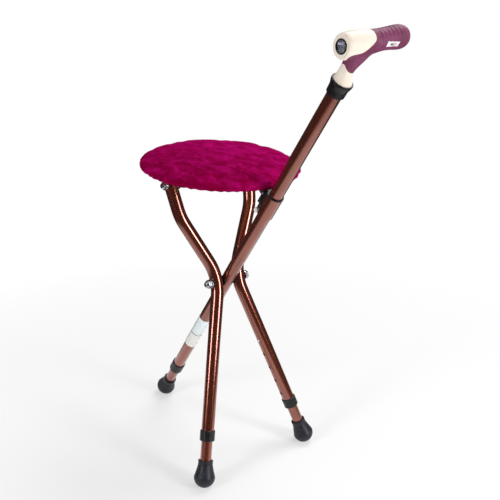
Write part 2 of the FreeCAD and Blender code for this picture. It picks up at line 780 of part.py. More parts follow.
hinge_spread, hinge_rest = hinge_spread_and_top()
upper_reach = z.bend_radius * sine(z.upper_splay) + z.leg_middle * cosine(z.upper_splay)
bend_reach = upper_reach + z.bend_radius * (sine(z.upper_splay) - sine(z.top_splay))
leg_top = (z.hinge_arm - bend_reach) / cosine(z.top_splay) + z.leg_top_margin


def bent_leg(name, run):
    """A bent tube drawn along its path, with its row of height holes."""
    body = new_body(name)
    ring = sketch_on(body, "XY_Plane", name + "_ring")
    circle(ring, (0, 0), tube_radius)
    circle(ring, (0, 0), tube_bore)
    start, centre_one, bend_end, middle_end, centre_two, back_end = leg_path_points()
    top_end = (back_end[0] + leg_top * sine(top_turn), back_end[1] + leg_top * cosine(top_turn))
    path = sketch_on(body, "XZ_Plane", name + "_path")
    spots = [(term(0), term(0)), start, bend_end, middle_end, back_end, top_end]
    centres = [None, centre_one, None, centre_two, None]
    places = [Vector(u.value, v.value, 0) for u, v in spots]
    ends = []
    for index, centre in enumerate(centres):
        edge, forward = edge_between(places[index], places[index + 1], centre)
        path.addGeometry(edge, False)
        ends.append((1, 2) if forward else (2, 1))
    for index in range(1, len(centres)):
        joint = (index - 1, ends[index - 1][1], index, ends[index][0])
        path.addConstraint(Sketcher.Constraint("Coincident", *joint))
    for index, spot in enumerate(spots[:-1]):
        pin_down(path, index, ends[index][0], spot)
    pin_down(path, len(centres) - 1, ends[-1][1], spots[-1])
    for index, centre in enumerate(centres):
        if centre is not None:
            pin_centre(path, index, centre, places[index], places[index + 1])
    pipe = body.newObject("PartDesign::AdditivePipe", name + "_pipe")
    pipe.Profile = ring
    pipe.Spine = (path, ["Edge%d" % (index + 1) for index in range(len(centres))])
    hole_row(body, name, z.hole_margin)
    body.Placement = run
    return body


SIDES = (("left", 1), ("right", -1))
HINGE = leg_point(0, 0, z.hinge_arm.value)
HINGE_PLACE = Placement(HINGE, turned(UP_LEGS, ACROSS))
washer_bed = z.washer_diameter * z.washer_diameter / 8 / (z.bend_radius - tube_radius) + z.seat_gap
bolt_half = leg_offset + tube_radius + washer_bed + z.washer_thick
pivot_hole_radius = z.bolt_diameter / 2 + z.seat_gap
hinge_hole_radius = z.hinge_bolt_diameter / 2 + z.running_gap

for side_name, side in SIDES:
    run = leg_run(side)
    leg = bent_leg(side_name + "_leg_body", run)
    pivot_hole = cylinder(side_name + "_pivot_hole", pivot_hole_radius, 2 * bolt_half,
                          crossing(0, 0, -bolt_half))
    hinge_hole = cylinder(side_name + "_hinge_hole", hinge_hole_radius, 2 * bolt_half * 3,
                          moved(HINGE_PLACE, 0, -3 * bolt_half))
    keep(side_name + "_leg_tube", cut_from(side_name + "_leg_cut", leg, [pivot_hole, hinge_hole]))
    run_set(side_name, run, leg_ball_rise, leg_button_rise, side_name + "_leg_collar", z.collar_height)
    top_axis = leg_direction(side, z.top_splay.value)
    top_base = leg_point(side, hinge_spread, z.hinge_arm.value) + top_axis * z.leg_top_margin.value
    plug = turned_piece(side_name + "_plug_body", (
        (0, -z.plug_stem), (tube_bore - z.seat_gap - 0.6, -z.plug_stem),
        (tube_bore - z.seat_gap, -z.plug_stem + 1),
        (tube_bore - z.seat_gap, z.seat_gap), (tube_radius, z.seat_gap), (tube_radius, z.plug_flange - 1),
        (tube_radius - 1, z.plug_flange), (0, z.plug_flange),
    ))
    top_side = leg_direction(side, z.top_splay.value + 90)
    keep(side_name + "_leg_plug", plug, Placement(top_base, turned(top_side, top_axis)))

# Pivot fasteners
nut_rise = bolt_half + z.seat_gap


def hexagon(name, flats, height, placement):
    prism = doc.addObject("Part::Prism", name)
    prism.Polygon = 6
    bind(prism, "Circumradius", flats / (2 * cosine(Term(30, "30"))))
    bind(prism, "Height", height)
    prism.Placement = placement
    return prism


def washer(name, outer, inner, thick, placement):
    ring = tube_piece(name, outer, inner, thick)
    ring.Placement = placement
    return ring


bolt_shank = cylinder("bolt_shank", z.bolt_diameter / 2, 2 * nut_rise + z.nut_height - 3,
                      flipped(moved(PIVOT_PLACE, 0, nut_rise)))
bolt_head = hexagon("bolt_head_hex", z.bolt_head, z.bolt_head_thick, moved(PIVOT_PLACE, 0, nut_rise))
keep("pivot_bolt", fused("bolt_join", [bolt_shank, bolt_head]))

nut_place = flipped(PIVOT_PLACE)
nut_radius = z.bolt_head / 2 / cosine(Term(30, "30"))
nut_hole = z.bolt_diameter / 2 + z.seat_gap
nut_turned = turned_piece("nut_turned", (
    (nut_hole, 0), (nut_radius, 0), (nut_radius, 5.5), (nut_radius - 1, 6.5), (nut_radius - 2.5, 9),
    (nut_radius - 4.5, z.nut_height), (0, z.nut_height), (0, z.nut_height - 2), (nut_hole, z.nut_height - 2),
))
nut_turned.Placement = moved(nut_place, 0, nut_rise)
nut_hex = hexagon("nut_hex", z.bolt_head, z.nut_height, moved(nut_place, 0, nut_rise))
nut = doc.addObject("Part::Common", "nut_common")
nut.Base = nut_turned
nut.Tool = nut_hex
keep("pivot_nut", nut)

washer_rise = leg_offset + tube_radius + washer_bed
washer_outer = z.washer_diameter / 2
pivot_washers = [
    washer("washer_left", washer_outer, pivot_hole_radius, z.washer_thick, moved(PIVOT_PLACE, 0, washer_rise)),
    washer("washer_right", washer_outer, pivot_hole_radius, z.washer_thick, moved(nut_place, 0, washer_rise)),
]
keep("pivot_washers", grouped("washer_pair", pivot_washers))

# Leg-top hinge, outwards along Y: nut, yoke tab, saddle washer, leg, saddle washer, bolt head
saddle_depth = tube_radius + z.saddle_thick
saddle_inner = term(hinge_spread) - saddle_depth
saddle_outer = term(hinge_spread) + saddle_depth


def saddle_washers(side_name, side):
    """The two washers of one leg top, hollowed to sit on its tube."""
    place = HINGE_PLACE if side > 0 else flipped(HINGE_PLACE)
    top_splay = z.top_splay.value
    run = Placement(leg_point(side, hinge_spread, z.hinge_arm.value),
                    turned(leg_direction(side, top_splay + 90), leg_direction(side, top_splay)))
    pieces = []
    for name, start in (("inner", saddle_inner), ("outer", saddle_outer - z.saddle_diameter / 2)):
        label = side_name + "_" + name + "_saddle"
        disc = cylinder(label + "_disc", z.saddle_diameter / 2, z.saddle_diameter / 2, moved(place, 0, start))
        bed = cylinder(label + "_bed", tube_radius + z.seat_gap, 3 * z.saddle_diameter,
                       moved(run, 0, -1.5 * z.saddle_diameter))
        bore = cylinder(label + "_bore", hinge_hole_radius, 2 * z.saddle_diameter,
                        moved(place, 0, start - z.saddle_diameter / 2))
        pieces.append(cut_from(label, disc, [bed, bore]))
    return pieces


keep("leg_saddle_washers", grouped("saddle_set", [
    piece for side_name, side in SIDES for piece in saddle_washers(side_name, side)]))

tab_outer = saddle_inner - z.face_gap
tab_inner = tab_outer - z.yoke_thick
head_start = saddle_outer + z.face_gap
hinge_bolts = []
hinge_nuts = []
for side_name, side in SIDES:
    place = HINGE_PLACE if side > 0 else flipped(HINGE_PLACE)
    nut_start = tab_inner - z.seat_gap - z.hinge_nut_thick
    shank_radius = z.hinge_bolt_diameter / 2
    head_radius = z.hinge_head / 2
    bolt = turned_piece(side_name + "_hinge_bolt", (
        (0, nut_start - 1), (shank_radius - 0.5, nut_start - 1), (shank_radius, nut_start - 0.5),
        (shank_radius, head_start), (head_radius, head_start), (head_radius, head_start + 2),
        (head_radius - 2, head_start + z.hinge_head_thick), (0, head_start + z.hinge_head_thick),
    ))
    bolt.Placement = place
    hinge_bolts.append(bolt)
    hexed = hexagon(side_name + "_hinge_hex", z.hinge_nut, z.hinge_nut_thick, moved(place, 0, nut_start))
    thread = cylinder(side_name + "_hinge_thread", shank_radius + z.seat_gap, 2 * z.hinge_nut_thick,
                      moved(place, 0, nut_start - z.hinge_nut_thick / 2))
    hinge_nuts.append(cut_from(side_name + "_hinge_nut", hexed, [thread]))
keep("hinge_bolts", grouped("hinge_bolt_pair", hinge_bolts))
keep("hinge_nuts", grouped("hinge_nut_pair", hinge_nuts))

# Seat, drawn from the leg-top hinge: X along the board towards the sleeve, Z square to it
SEAT = Placement(HINGE, Rotation(Vector(0, 1, 0), z.seat_tilt.value))


def sleeve_rise():
    """The sleeve hinge above the pivot, along the shaft, from the three arms of the linkage."""
    fold = TILT + LEAN
    arm = z.hinge_arm.value
    gap = arm * math.sin(fold) - z.sleeve_arm.value
    return arm * math.cos(fold) + math.sqrt(z.link_length.value ** 2 - gap ** 2)


SLEEVE_RISE = sleeve_rise()
SLEEVE_HINGE = PIVOT + UP_SHAFT * SLEEVE_RISE + OFF_SHAFT * z.sleeve_arm.value
hinge_in_seat = SEAT.inverse().multVec(SLEEVE_HINGE)
BRACKET = Placement(SLEEVE_HINGE, SEAT.Rotation)
bracket_rise = z.seat_rise - hinge_in_seat.z
BOARD = moved(SEAT, z.seat_reach, z.seat_rise)


def plate(name, role, corners, thick, placement):
    """A flat plate cut to an outline, centred on the outline's plane."""
    body = padded_piece(name, role, lambda sketch: outline(sketch, corners), thick)
    body.Group[-1].Midplane = True
    body.Placement = placement
    return body


def shifted(placement, across):
    """The same turn, shifted along its own Y."""
    return placement.multiply(Placement(Vector(0, term(across).value, 0), Rotation()))


def lying(placement, across=0.0):
    """The same place, with local Z along the placement's own Y."""
    turn = Placement(Vector(0, term(across).value, 0), Rotation(Vector(1, 0, 0), -90))
    return placement.multiply(turn)


board_radius = z.board_diameter / 2
board = turned_piece("board_body", (
    (0, 0), (board_radius - 1.5, 0), (board_radius, 1.5), (board_radius, z.board_thick - 1),
    (board_radius - 1, z.board_thick), (0, z.board_thick),
))
board.Placement = BOARD
strap_half = tab_outer
screw_places = [shifted(moved(SEAT, along, z.seat_rise), across)
                for along in (-7, 7) for across in (strap_half * -0.6, strap_half * 0.6)]
clevis_end = -z.clevis_clear
screw_places += [moved(BRACKET, clevis_end - z.clevis_length * share, bracket_rise) for share in (0.25, 0.8)]


head_slope = z.screw_head / 2 - z.screw_shank / 2
screws = []
for index, place in enumerate(screw_places):
    shank = z.screw_shank / 2
    screw = turned_piece("seat_screw_%d" % index, (
        (0, -z.clevis_plate), (z.screw_head / 2, -z.clevis_plate), (z.screw_head / 2, -z.clevis_plate + 0.3),
        (shank, head_slope - z.clevis_plate + 0.3), (shank, z.screw_grip - 1), (shank - 1, z.screw_grip),
        (0, z.screw_grip),
    ))
    screw.Placement = place
    screws.append(screw)
keep("seat_screws", grouped("seat_screw_set", screws))


def countersinks(name, indices):
    """Screw holes with their countersinks, a little larger than the screws."""
    cuts = []
    for index in indices:
        shank = z.screw_shank / 2 + z.seat_gap
        head = z.screw_head / 2 + z.seat_gap
        low = -z.clevis_plate
        sink = turned_piece("%s_%d" % (name, index), (
            (0, low - 2), (head, low - 2), (head, low + 0.3), (shank, head_slope + low + 0.3),
            (shank, z.screw_grip + 0.3), (0, z.screw_grip + 0.3),
        ))
        sink.Placement = screw_places[index]
        cuts.append(sink)
    return cuts


every_screw = range(len(screw_places))
keep("seat_board", cut_from("board_cut", board, countersinks("board_sink", every_screw)))

foam_top = z.foam_edge + z.foam_crown
foam = turned_piece("foam_body", (
    (0, 0), (board_radius, 0), (board_radius, z.foam_edge - 2), (board_radius - 2, z.foam_edge),
    (board_radius * 0.85, z.foam_edge + z.foam_crown * 0.3),
    (board_radius * 0.6, z.foam_edge + z.foam_crown * 0.68),
    (board_radius * 0.3, z.foam_edge + z.foam_crown * 0.93), (0, foam_top),
))
keep("seat_foam", foam, moved(BOARD, 0, z.board_thick))

cover_in = board_radius + z.cover_gap
cover_out = cover_in + z.cover_side
hem_in = z.hem_opening / 2
foam_base = z.board_thick + z.cover_gap
cover_base = foam_base + z.cover_top
cover = turned_piece("cover_body", (
    (hem_in, -z.cover_gap), (cover_in, -z.cover_gap), (cover_in, foam_base + z.foam_edge - 2),
    (cover_in - 2, foam_base + z.foam_edge + 0.3),
    (board_radius * 0.85, foam_base + z.foam_edge + z.foam_crown * 0.3 + 0.3),
    (board_radius * 0.6, foam_base + z.foam_edge + z.foam_crown * 0.68 + 0.3),
    (board_radius * 0.3, foam_base + z.foam_edge + z.foam_crown * 0.93 + 0.3),
    (0, foam_base + foam_top + 0.3),
    (0, cover_base + foam_top + 0.3),
    (board_radius * 0.3, cover_base + z.foam_edge + z.foam_crown * 0.93 + 0.3),
    (board_radius * 0.6, cover_base + z.foam_edge + z.foam_crown * 0.68 + 0.3),
    (board_radius * 0.85, cover_base + z.foam_edge + z.foam_crown * 0.3 + 0.3),
    (cover_in, cover_base + z.foam_edge), (cover_out - 1, foam_base + z.foam_edge - 2),
    (cover_out, z.board_thick / 2), (cover_out - 1, 0), (cover_in, -z.cover_gap - z.cover_under),
    (hem_in, -z.cover_gap - z.cover_under),
))
cover.Placement = BOARD
notch = block("hem_notch_block", board_radius / 2, z.hem_notch, z.cover_under + 2 * z.cover_gap,
              moved(BOARD, board_radius * 0.75, -z.cover_under - 2 * z.cover_gap))
keep("seat_cover", cut_from("cover_cut", cover, [notch]))

cord_ring = doc.addObject("Part::Torus", "cord_ring")
cord_radius = z.elastic_diameter / 2
bind(cord_ring, "Radius1", hem_in - cord_radius - 0.2)
bind(cord_ring, "Radius2", cord_radius)
cord_open = math.degrees(2 * math.asin(z.hem_notch.value / z.hem_opening.value)) + 1.5
cord_ring.Angle3 = 360 - cord_open
keep("hem_elastic", cord_ring, moved(BOARD, 0, -cord_radius - 0.3).multiply(
    Placement(Vector(), Rotation(Vector(0, 0, 1), cord_open / 2))))

# Leg yoke: a strap under the board with a tab at each end
strap = block("strap_block", z.yoke_width, 2 * strap_half, z.yoke_thick,
              moved(SEAT, 0, z.seat_rise - z.yoke_thick))
tab_pieces = []
tab_middle = (tab_outer + tab_inner) / 2
for side_name, side in SIDES:
    half = z.yoke_width / 2
    low = -z.tab_radius * 0.5
    waist = z.tab_radius * 0.86
    tab = plate(side_name + "_tab_plate", "XZ_Plane", (
        (-half, z.seat_rise - z.yoke_thick), (-half, z.seat_rise - 8), (-waist, low * -1), (-waist, low),
        (waist, low), (waist, low * -1), (half, z.seat_rise - 8), (half, z.seat_rise - z.yoke_thick),
    ), z.yoke_thick, shifted(SEAT, tab_middle * side))
    eye = cylinder(side_name + "_tab_eye", z.tab_radius, z.yoke_thick,
                   lying(SEAT, tab_middle * side - z.yoke_thick / 2))
    tab_pieces += [tab, eye]
yoke_join = fused("yoke_join", [strap] + tab_pieces)
yoke_bore = cylinder("yoke_bore", z.hinge_bolt_diameter / 2 + z.seat_gap, 3 * strap_half,
                     lying(SEAT, -1.5 * strap_half))
keep("leg_yoke", cut_from("yoke_cut", yoke_join, [yoke_bore] + countersinks("yoke_sink", range(4))))

# Seat clevis: a base plate under the board and two ears round the sleeve hinge
base_middle = clevis_end - z.clevis_length / 2
base = block("clevis_base", z.clevis_length, z.clevis_width, z.clevis_plate,
             moved(BRACKET, base_middle, bracket_rise - z.clevis_plate))
ear_inner = z.ear_half_gap + z.ear_thick + z.face_gap
ear_middle = ear_inner + z.clevis_ear / 2
clevis_pieces = [base]
for side_name, side in SIDES:
    rim = bracket_rise
    ear = plate(side_name + "_clevis_plate", "XZ_Plane", (
        (clevis_end - z.clevis_length, rim), (clevis_end - z.clevis_length, rim - z.clevis_plate - 0.6),
        (-14, rim - z.clevis_plate - 0.6), (-4, -3.3), (3.7, -3.6), (4.5, 2), (1, rim),
    ), z.clevis_ear, shifted(BRACKET, ear_middle * side))
    eye = cylinder(side_name + "_clevis_eye", z.ear_radius, z.clevis_ear,
                   lying(BRACKET, ear_middle * side - z.clevis_ear / 2))
    clevis_pieces += [ear, eye]
clevis_join = fused("clevis_join", clevis_pieces)
clevis_bore = cylinder("clevis_bore", z.hinge_pin / 2 + z.running_gap, 2 * z.clevis_width,
                       lying(BRACKET, -z.clevis_width))
keep("seat_bracket", cut_from("clevis_cut", clevis_join, [clevis_bore] + countersinks("clevis_sink", (4, 5))))

# Sleeve on the shaft, in the shaft's frame at the sleeve hinge
sleeve_outer = z.sleeve_diameter / 2
sleeve_inner = sleeve_outer - z.sleeve_wall
liner_inner = tube_radius + z.liner_gap
liner_outer = sleeve_inner - z.seat_gap
keep("sleeve_tube", tube_piece("sleeve_body", sleeve_outer, sleeve_inner, z.sleeve_above + z.sleeve_below),
     on_shaft(SLEEVE_RISE - z.sleeve_below))
liner_top = z.sleeve_above + z.sleeve_below + z.seat_gap
liner = turned_piece("liner_body", (
    (liner_inner, 0), (liner_outer, 0), (liner_outer, liner_top),
    (sleeve_outer + z.liner_lip_proud, liner_top),
    (sleeve_outer + z.liner_lip_proud, liner_top + z.liner_lip), (liner_inner, liner_top + z.liner_lip),
))
keep("sleeve_liner", liner, on_shaft(SLEEVE_RISE - z.sleeve_below))

bed_radius = sleeve_outer + z.seat_gap
lever_rise = -z.lever_drop
ears_low = lever_rise - 5
ears_half = z.ear_half_gap + z.ear_thick
saddle_ring = cylinder("saddle_ring", bed_radius + 1, z.ear_radius - ears_low,
                       on_shaft(SLEEVE_RISE + ears_low))
saddle_block = block("saddle_block", 2 * ears_half, 2 * bed_radius, z.ear_radius - ears_low,
                     on_shaft(SLEEVE_RISE + ears_low, bed_radius))
saddle = doc.addObject("Part::Common", "saddle_common")
saddle.Base = saddle_ring
saddle.Tool = saddle_block
ear_pieces = [saddle]
for side_name, side in SIDES:
    spot = side * (z.ear_half_gap + z.ear_thick / 2)
    edge = z.lever_offset + 3.2
    ear = plate(side_name + "_sleeve_plate", "YZ_Plane", (
        (bed_radius - 3, ears_low), (edge, ears_low), (edge, 0), (z.sleeve_arm, z.ear_radius),
        (bed_radius - 3, z.ear_radius),
    ), z.ear_thick, on_shaft(SLEEVE_RISE, 0, spot))
    eye = cylinder(side_name + "_sleeve_eye", z.ear_radius, z.ear_thick,
                   crossing(SLEEVE_RISE, z.sleeve_arm, spot - z.ear_thick / 2))
    ear_pieces += [ear, eye]
ears_join = fused("ears_join", ear_pieces)
ears_bed = cylinder("ears_bed", bed_radius, 4 * z.sleeve_diameter,
                    on_shaft(SLEEVE_RISE - 2 * z.sleeve_diameter))
ears_bore = cylinder("ears_bore", z.hinge_pin / 2 + z.seat_gap, 4 * ears_half,
                     crossing(SLEEVE_RISE, z.sleeve_arm, -2 * ears_half))
LEVER = on_shaft(SLEEVE_RISE - z.lever_drop, z.lever_offset)
lever_bore = cylinder("lever_bore", z.lever_pin / 2 + z.seat_gap, 4 * ears_half,
                      crossing(SLEEVE_RISE - z.lever_drop, z.lever_offset, -2 * ears_half))
keep("sleeve_ears", cut_from("ears_cut", ears_join, [ears_bed, ears_bore, lever_bore]))

pin_half = ear_inner + z.clevis_ear + z.face_gap
pin_shank = z.hinge_pin / 2
hinge_pin = turned_piece("hinge_pin_body", (
    (0, -pin_half - z.pin_head), (pin_shank + 0.8, -pin_half - z.pin_head),
    (pin_shank + 1.5, -pin_half - 0.6),
    (pin_shank + 1.5, -pin_half), (pin_shank, -pin_half), (pin_shank, pin_half), (pin_shank + 1.5, pin_half),
    (pin_shank + 1.5, pin_half + 0.6), (pin_shank + 0.8, pin_half + z.pin_head), (0, pin_half + z.pin_head),
))
keep("sleeve_pin", hinge_pin, crossing(SLEEVE_RISE, z.sleeve_arm, 0))
keep("lever_pin", cylinder("lever_pin_solid", z.lever_pin / 2, 2 * ears_half,
                           crossing(SLEEVE_RISE - z.lever_drop, z.lever_offset, -ears_half)))


def coil(name, placement, radius, wire, pitch, height):
    """A coil spring round its own Z."""
    radius, wire, pitch, height = (term(length).value for length in (radius, wire, pitch, height))
    helix = Part.Wire(Part.makeHelix(pitch, height, radius).Edges)
    section = Part.Wire(Part.makeCircle(wire, Vector(radius, 0, 0), Vector(0, 1, 0)))
    spring = doc.addObject("Part::Feature", name)
    spring.Shape = helix.makePipeShell([section], True, True)
    keep(name, spring, placement)


lever_half = z.lever_width / 2
spring_wire = 0.4
coil("lever_spring", crossing(SLEEVE_RISE - z.lever_drop, z.lever_offset, lever_half + spring_wire + 0.1),
     z.lever_pin / 2 + 0.9, spring_wire, 1, z.ear_half_gap - lever_half - 2 * spring_wire - 0.2)

# Release lever and its roller
roller_rise = z.roller_diameter / 2 + z.roller_gap + tube_radius - z.lever_offset
lever_bar = block("lever_bar", z.lever_width, z.lever_thick, z.lever_arm + z.lever_tail,
                  moved(LEVER, 0, -z.lever_arm))
lever_boss = cylinder("lever_boss", z.lever_pin / 2 + 1.2, z.lever_width,
                      crossing(SLEEVE_RISE - z.lever_drop, z.lever_offset, -lever_half))
ROLLER = crossing(SLEEVE_RISE - z.lever_drop - z.lever_arm, z.lever_offset + roller_rise, 0)
lever_eye = cylinder("lever_eye_disc", z.lever_eye, z.lever_width, moved(ROLLER, 0, -lever_half))
lever_join = fused("lever_join", [lever_bar, lever_boss, lever_eye])
waist_bore = cylinder("waist_bore", z.roller_waist / 2 + z.seat_gap, 3 * z.lever_width,
                      moved(ROLLER, 0, -1.5 * z.lever_width))
turning_bore = cylinder("turning_bore", z.lever_pin / 2 + z.running_gap, 3 * z.lever_width,
                        crossing(SLEEVE_RISE - z.lever_drop, z.lever_offset, -1.5 * z.lever_width))
keep("release_lever", cut_from("lever_cut", lever_join, [waist_bore, turning_bore]))

roller_half = z.roller_length / 2
roller_radius = z.roller_diameter / 2
groove = lever_half + 0.1
waist = z.roller_waist / 2
roller = turned_piece("roller_body", (
    (0, -roller_half), (roller_radius - 0.8, -roller_half), (roller_radius, 0.8 - roller_half),
    (roller_radius, -groove), (waist, -groove), (waist, groove), (roller_radius, groove),
    (roller_radius, roller_half - 0.8), (roller_radius - 0.8, roller_half), (0, roller_half),
))
keep("brake_roller", roller, ROLLER)

# Handle, in the shaft's frame at the top of the shaft tube: X along the handle, Z up the shaft
HANDLE = on_shaft(z.shaft_rise)


def handle_form(name, inset):
    """The outer form of handle and neck, or the same form drawn in by the inset."""
    rings = []
    for along, rise, radius in HANDLE_RINGS:
        if radius - inset < 0.5:
            continue
        centre = Vector(along - inset if along > 50 else along, 0, rise)
        ring = Part.makeCircle(radius - inset, centre, Vector(1, 0, 0))
        rings.append(Part.Wire(ring.rotate(centre, Vector(1, 0, 0), 50)))
    neck = []
    for rise, middle, half_length, half_width in NECK_RINGS:
        centre = Vector(middle, 0, rise)
        if half_length > half_width:
            tip = centre + Vector(half_length - inset, 0, 0)
            ring = Part.Ellipse(tip, centre + Vector(0, half_width - inset, 0), centre)
        else:
            ring = Part.Circle(centre, Vector(0, 0, 1), half_length - inset)
        neck.append(Part.Wire(ring.toShape()))
    form = doc.addObject("Part::Feature", name)
    form.Shape = Part.makeLoft(rings, True).fuse(Part.makeLoft(neck, True)).removeSplitter()
    form.Placement = HANDLE
    return form


def grip_zone():
    """A prism across the handle over all that the soft grip covers."""
    spots = [Vector(along, -40, rise) for along, rise in GRIP_EDGE]
    curve = Part.BSplineCurve()
    curve.interpolate(spots[:-2])
    ends = [spots[-3], spots[-2], spots[-1], spots[0]]
    edges = [curve.toShape()] + [Part.LineSegment(*pair).toShape() for pair in zip(ends, ends[1:])]
    zone = doc.addObject("Part::Feature", "grip_zone")
    zone.Shape = Part.Face(Part.Wire(edges)).extrude(Vector(0, 80, 0))
    zone.Placement = HANDLE
    return zone


def common(name, base, tool):
    both = doc.addObject("Part::Common", name)
    both.Base = base
    both.Tool = tool
    return both


def across_torch(depth):
    """A place on the torch's axis: Z into the handle, measured from the front of the bezel."""
    return along_handle(term(depth) - z.torch_front - z.bezel_proud, z.torch_rise)


bezel_back = z.bezel_depth + z.seat_gap
lens_front = 1.6 + z.seat_gap
lens_back = lens_front + z.lens_thick
mirror_front = lens_back + z.seat_gap
mirror_back = mirror_front + z.reflector_depth
lamp_back = mirror_back + z.seat_gap + z.board_disc
cells_start = lamp_back + z.seat_gap
cells_end = cells_start + z.cell_height * z.cell_count
battery_end = cells_end + z.cell_spring + 0.1
bore_radius = z.torch_bore / 2
cell_radius = z.cell_diameter / 2
SWITCH = Placement(on_shaft(z.shaft_rise + z.switch_up, -z.switch_face, z.switch_along).Base,
                   turned(ACROSS, OFF_SHAFT * -1))
slider_room = z.slider_length + z.slider_travel + 2 * z.face_gap
window_height = z.slider_height + 2 * z.face_gap
foot_height = z.slider_height + 1.6
screw_seat = 7
SCREW_SPOTS = ((52, 69.8), (-3, 38))


def screw_spot(index):
    """A place in the handle's mid plane with Z towards the seat's side, where a screw goes in."""
    along, rise = SCREW_SPOTS[index]
    turn = Placement(Vector(), Rotation(Vector(0, 0, 1), 35))
    base = on_shaft(z.shaft_rise + rise, 0, along).Base
    return Placement(base, turned(ACROSS, OFF_SHAFT)).multiply(turn)


def handle_cuts(name):
    """All that is hollow in the handle."""
    front_gap = 5
    cuts = [
        cylinder(name + "_bezel", z.bezel_diameter / 2 + z.seat_gap, bezel_back + front_gap,
                 across_torch(-front_gap)),
        cylinder(name + "_torch", bore_radius, cells_start, across_torch(0)),
        cylinder(name + "_battery", cell_radius + 0.2, battery_end - 1, across_torch(1)),
        cylinder(name + "_stem", z.stem_diameter / 2 + z.seat_gap, z.stem_rise + 1.3,
                 on_shaft(z.shaft_rise - 1)),
        block(name + "_plate", z.switch_length + 0.1, z.switch_height + 0.1, z.switch_thick + 6,
              moved(SWITCH, 0, -z.switch_thick - z.seat_gap)),
        block(name + "_slider", slider_room + 2, foot_height + 0.6, 2,
              moved(SWITCH, 0, -z.switch_thick - z.seat_gap - 1.8)),
    ]
    shank = z.screw_small / 2 + z.seat_gap
    head = z.screw_small_head / 2 + z.running_gap
    for index in range(len(SCREW_SPOTS)):
        cut = turned_piece("%s_screw_%d" % (name, index), (
            (0, -screw_seat - 0.1), (shank, -screw_seat - 0.1), (shank, screw_seat), (head, screw_seat),
            (head, 3 * screw_seat), (0, 3 * screw_seat),
        ))
        cut.Placement = screw_spot(index)
        cuts.append(cut)
    return cuts


def carved(name, base, tools):
    """The base with the tools cut away one after another."""
    for index, tool in enumerate(tools):
        base = cut_from("%s_%d" % (name, index), base, [tool])
    return base


form = handle_form("handle_form", 0)
core = handle_form("handle_core", z.grip_thick.value)
wrap = cut_from("grip_wrap", grip_zone(), [core])
keep("handle_grip", carved("grip_cut", common("grip_common", form, wrap), handle_cuts("grip")))
shell = cut_from("shell_cut", handle_form("shell_form", 0), [wrap])
for half_name, direction in (("front", -1), ("back", 1)):
    half = block(half_name + "_half", 240, 120, 160,
                 on_shaft(z.shaft_rise - 10, 60 * direction, 20))
    keep("handle_shell_" + half_name,
         carved(half_name + "_cut", common(half_name + "_common", shell, half), handle_cuts(half_name)))

screw_pieces = []
for index in range(len(SCREW_SPOTS)):
    shank = z.screw_small / 2
    head = z.screw_small_head / 2
    screw = turned_piece("handle_screw_%d" % index, (
        (0, -screw_seat), (shank - 0.5, -screw_seat), (shank, -screw_seat + 0.8), (shank, screw_seat + 0.05),
        (head, screw_seat + 0.05), (head, screw_seat + 1.2), (head - 1, screw_seat + 2), (0, screw_seat + 2),
    ))
    screw.Placement = screw_spot(index)
    screw_pieces.append(screw)
keep("handle_screws", grouped("handle_screw_set", screw_pieces))

opening = z.bezel_opening / 2
bezel_outer = z.bezel_diameter / 2
bezel_wall = bezel_outer - 1.2
keep("torch_bezel", turned_piece("bezel_body", (
    (opening, 0.6), (opening + 0.6, 0), (bezel_outer - 0.6, 0), (bezel_outer, 0.6),
    (bezel_outer, z.bezel_depth),
    (bezel_wall, z.bezel_depth), (bezel_wall, 1.6), (opening, 1.6),
)), across_torch(0))
lens_radius = bezel_wall - z.seat_gap
keep("torch_lens", turned_piece("lens_body", (
    (0, 0), (lens_radius, 0), (lens_radius, z.lens_thick), (0, z.lens_thick),
)), across_torch(lens_front))
keep("torch_reflector", turned_piece("reflector_body", (
    (opening + 0.4, 0), (lens_radius, 0), (lens_radius, 1.5), (z.lamp_diameter / 2 + 1.7, z.reflector_depth),
    (z.lamp_diameter / 2 + 0.7, z.reflector_depth),
)), across_torch(mirror_front))
lamp_radius = z.lamp_diameter / 2
keep("lamp_board", turned_piece("lamp_body", (
    (0, -lamp_radius - 1.2, (0, -1.2)), (lamp_radius, -1.2), (lamp_radius, 0), (bore_radius - 0.1, 0),
    (bore_radius - 0.1, z.board_disc), (0, z.board_disc),
)), across_torch(mirror_back + z.seat_gap))
cells = []
for index in range(int(z.cell_count.value)):
    cell = turned_piece("cell_%d" % index, (
        (0, 0), (cell_radius, 0), (cell_radius, z.cell_height - 1), (cell_radius - 1, z.cell_height - 0.4),
        (cell_radius - 1, z.cell_height - 0.1), (0, z.cell_height - 0.1),
    ))
    cell.Placement = across_torch(cells_start + z.cell_height * index)
    cells.append(cell)
keep("battery_cells", grouped("cell_set", cells))
battery_wire = 0.4
coil("battery_spring", across_torch(cells_end + battery_wire), 3.6, battery_wire, 1.3,
     z.cell_spring - 2 * battery_wire)

plate_block = block("switch_plate_block", z.switch_length, z.switch_height, z.switch_thick,
                    moved(SWITCH, 0, -z.switch_thick))
window = block("switch_window", slider_room, window_height, z.switch_thick + 2,
               moved(SWITCH, 0, -z.switch_thick - 1))
keep("switch_plate", cut_from("switch_plate_cut", plate_block, [window]))
slider_place = moved(SWITCH, z.slider_travel / 2, -z.switch_thick - z.face_gap)
slider_stem = block("slider_stem", z.slider_length, z.slider_height, z.switch_thick + z.face_gap + 1.6,
                    slider_place)
slider_foot = block("slider_foot", z.slider_length + 2, foot_height, 1.2, moved(slider_place, 0, -1.2))
keep("torch_switch", fused("slider_join", [slider_stem, slider_foot]))

doc.recompute()
failed = [thing.Name for thing in doc.Objects if {"Invalid", "Error"} & set(thing.State)]
if failed:
    raise RuntimeError("failed: " + ", ".join(failed))
for name, thing in nodes.items():
    if thing.Shape.isNull() or not thing.Shape.isValid() or not thing.Shape.Solids:
        raise RuntimeError(name + " is not a valid solid")

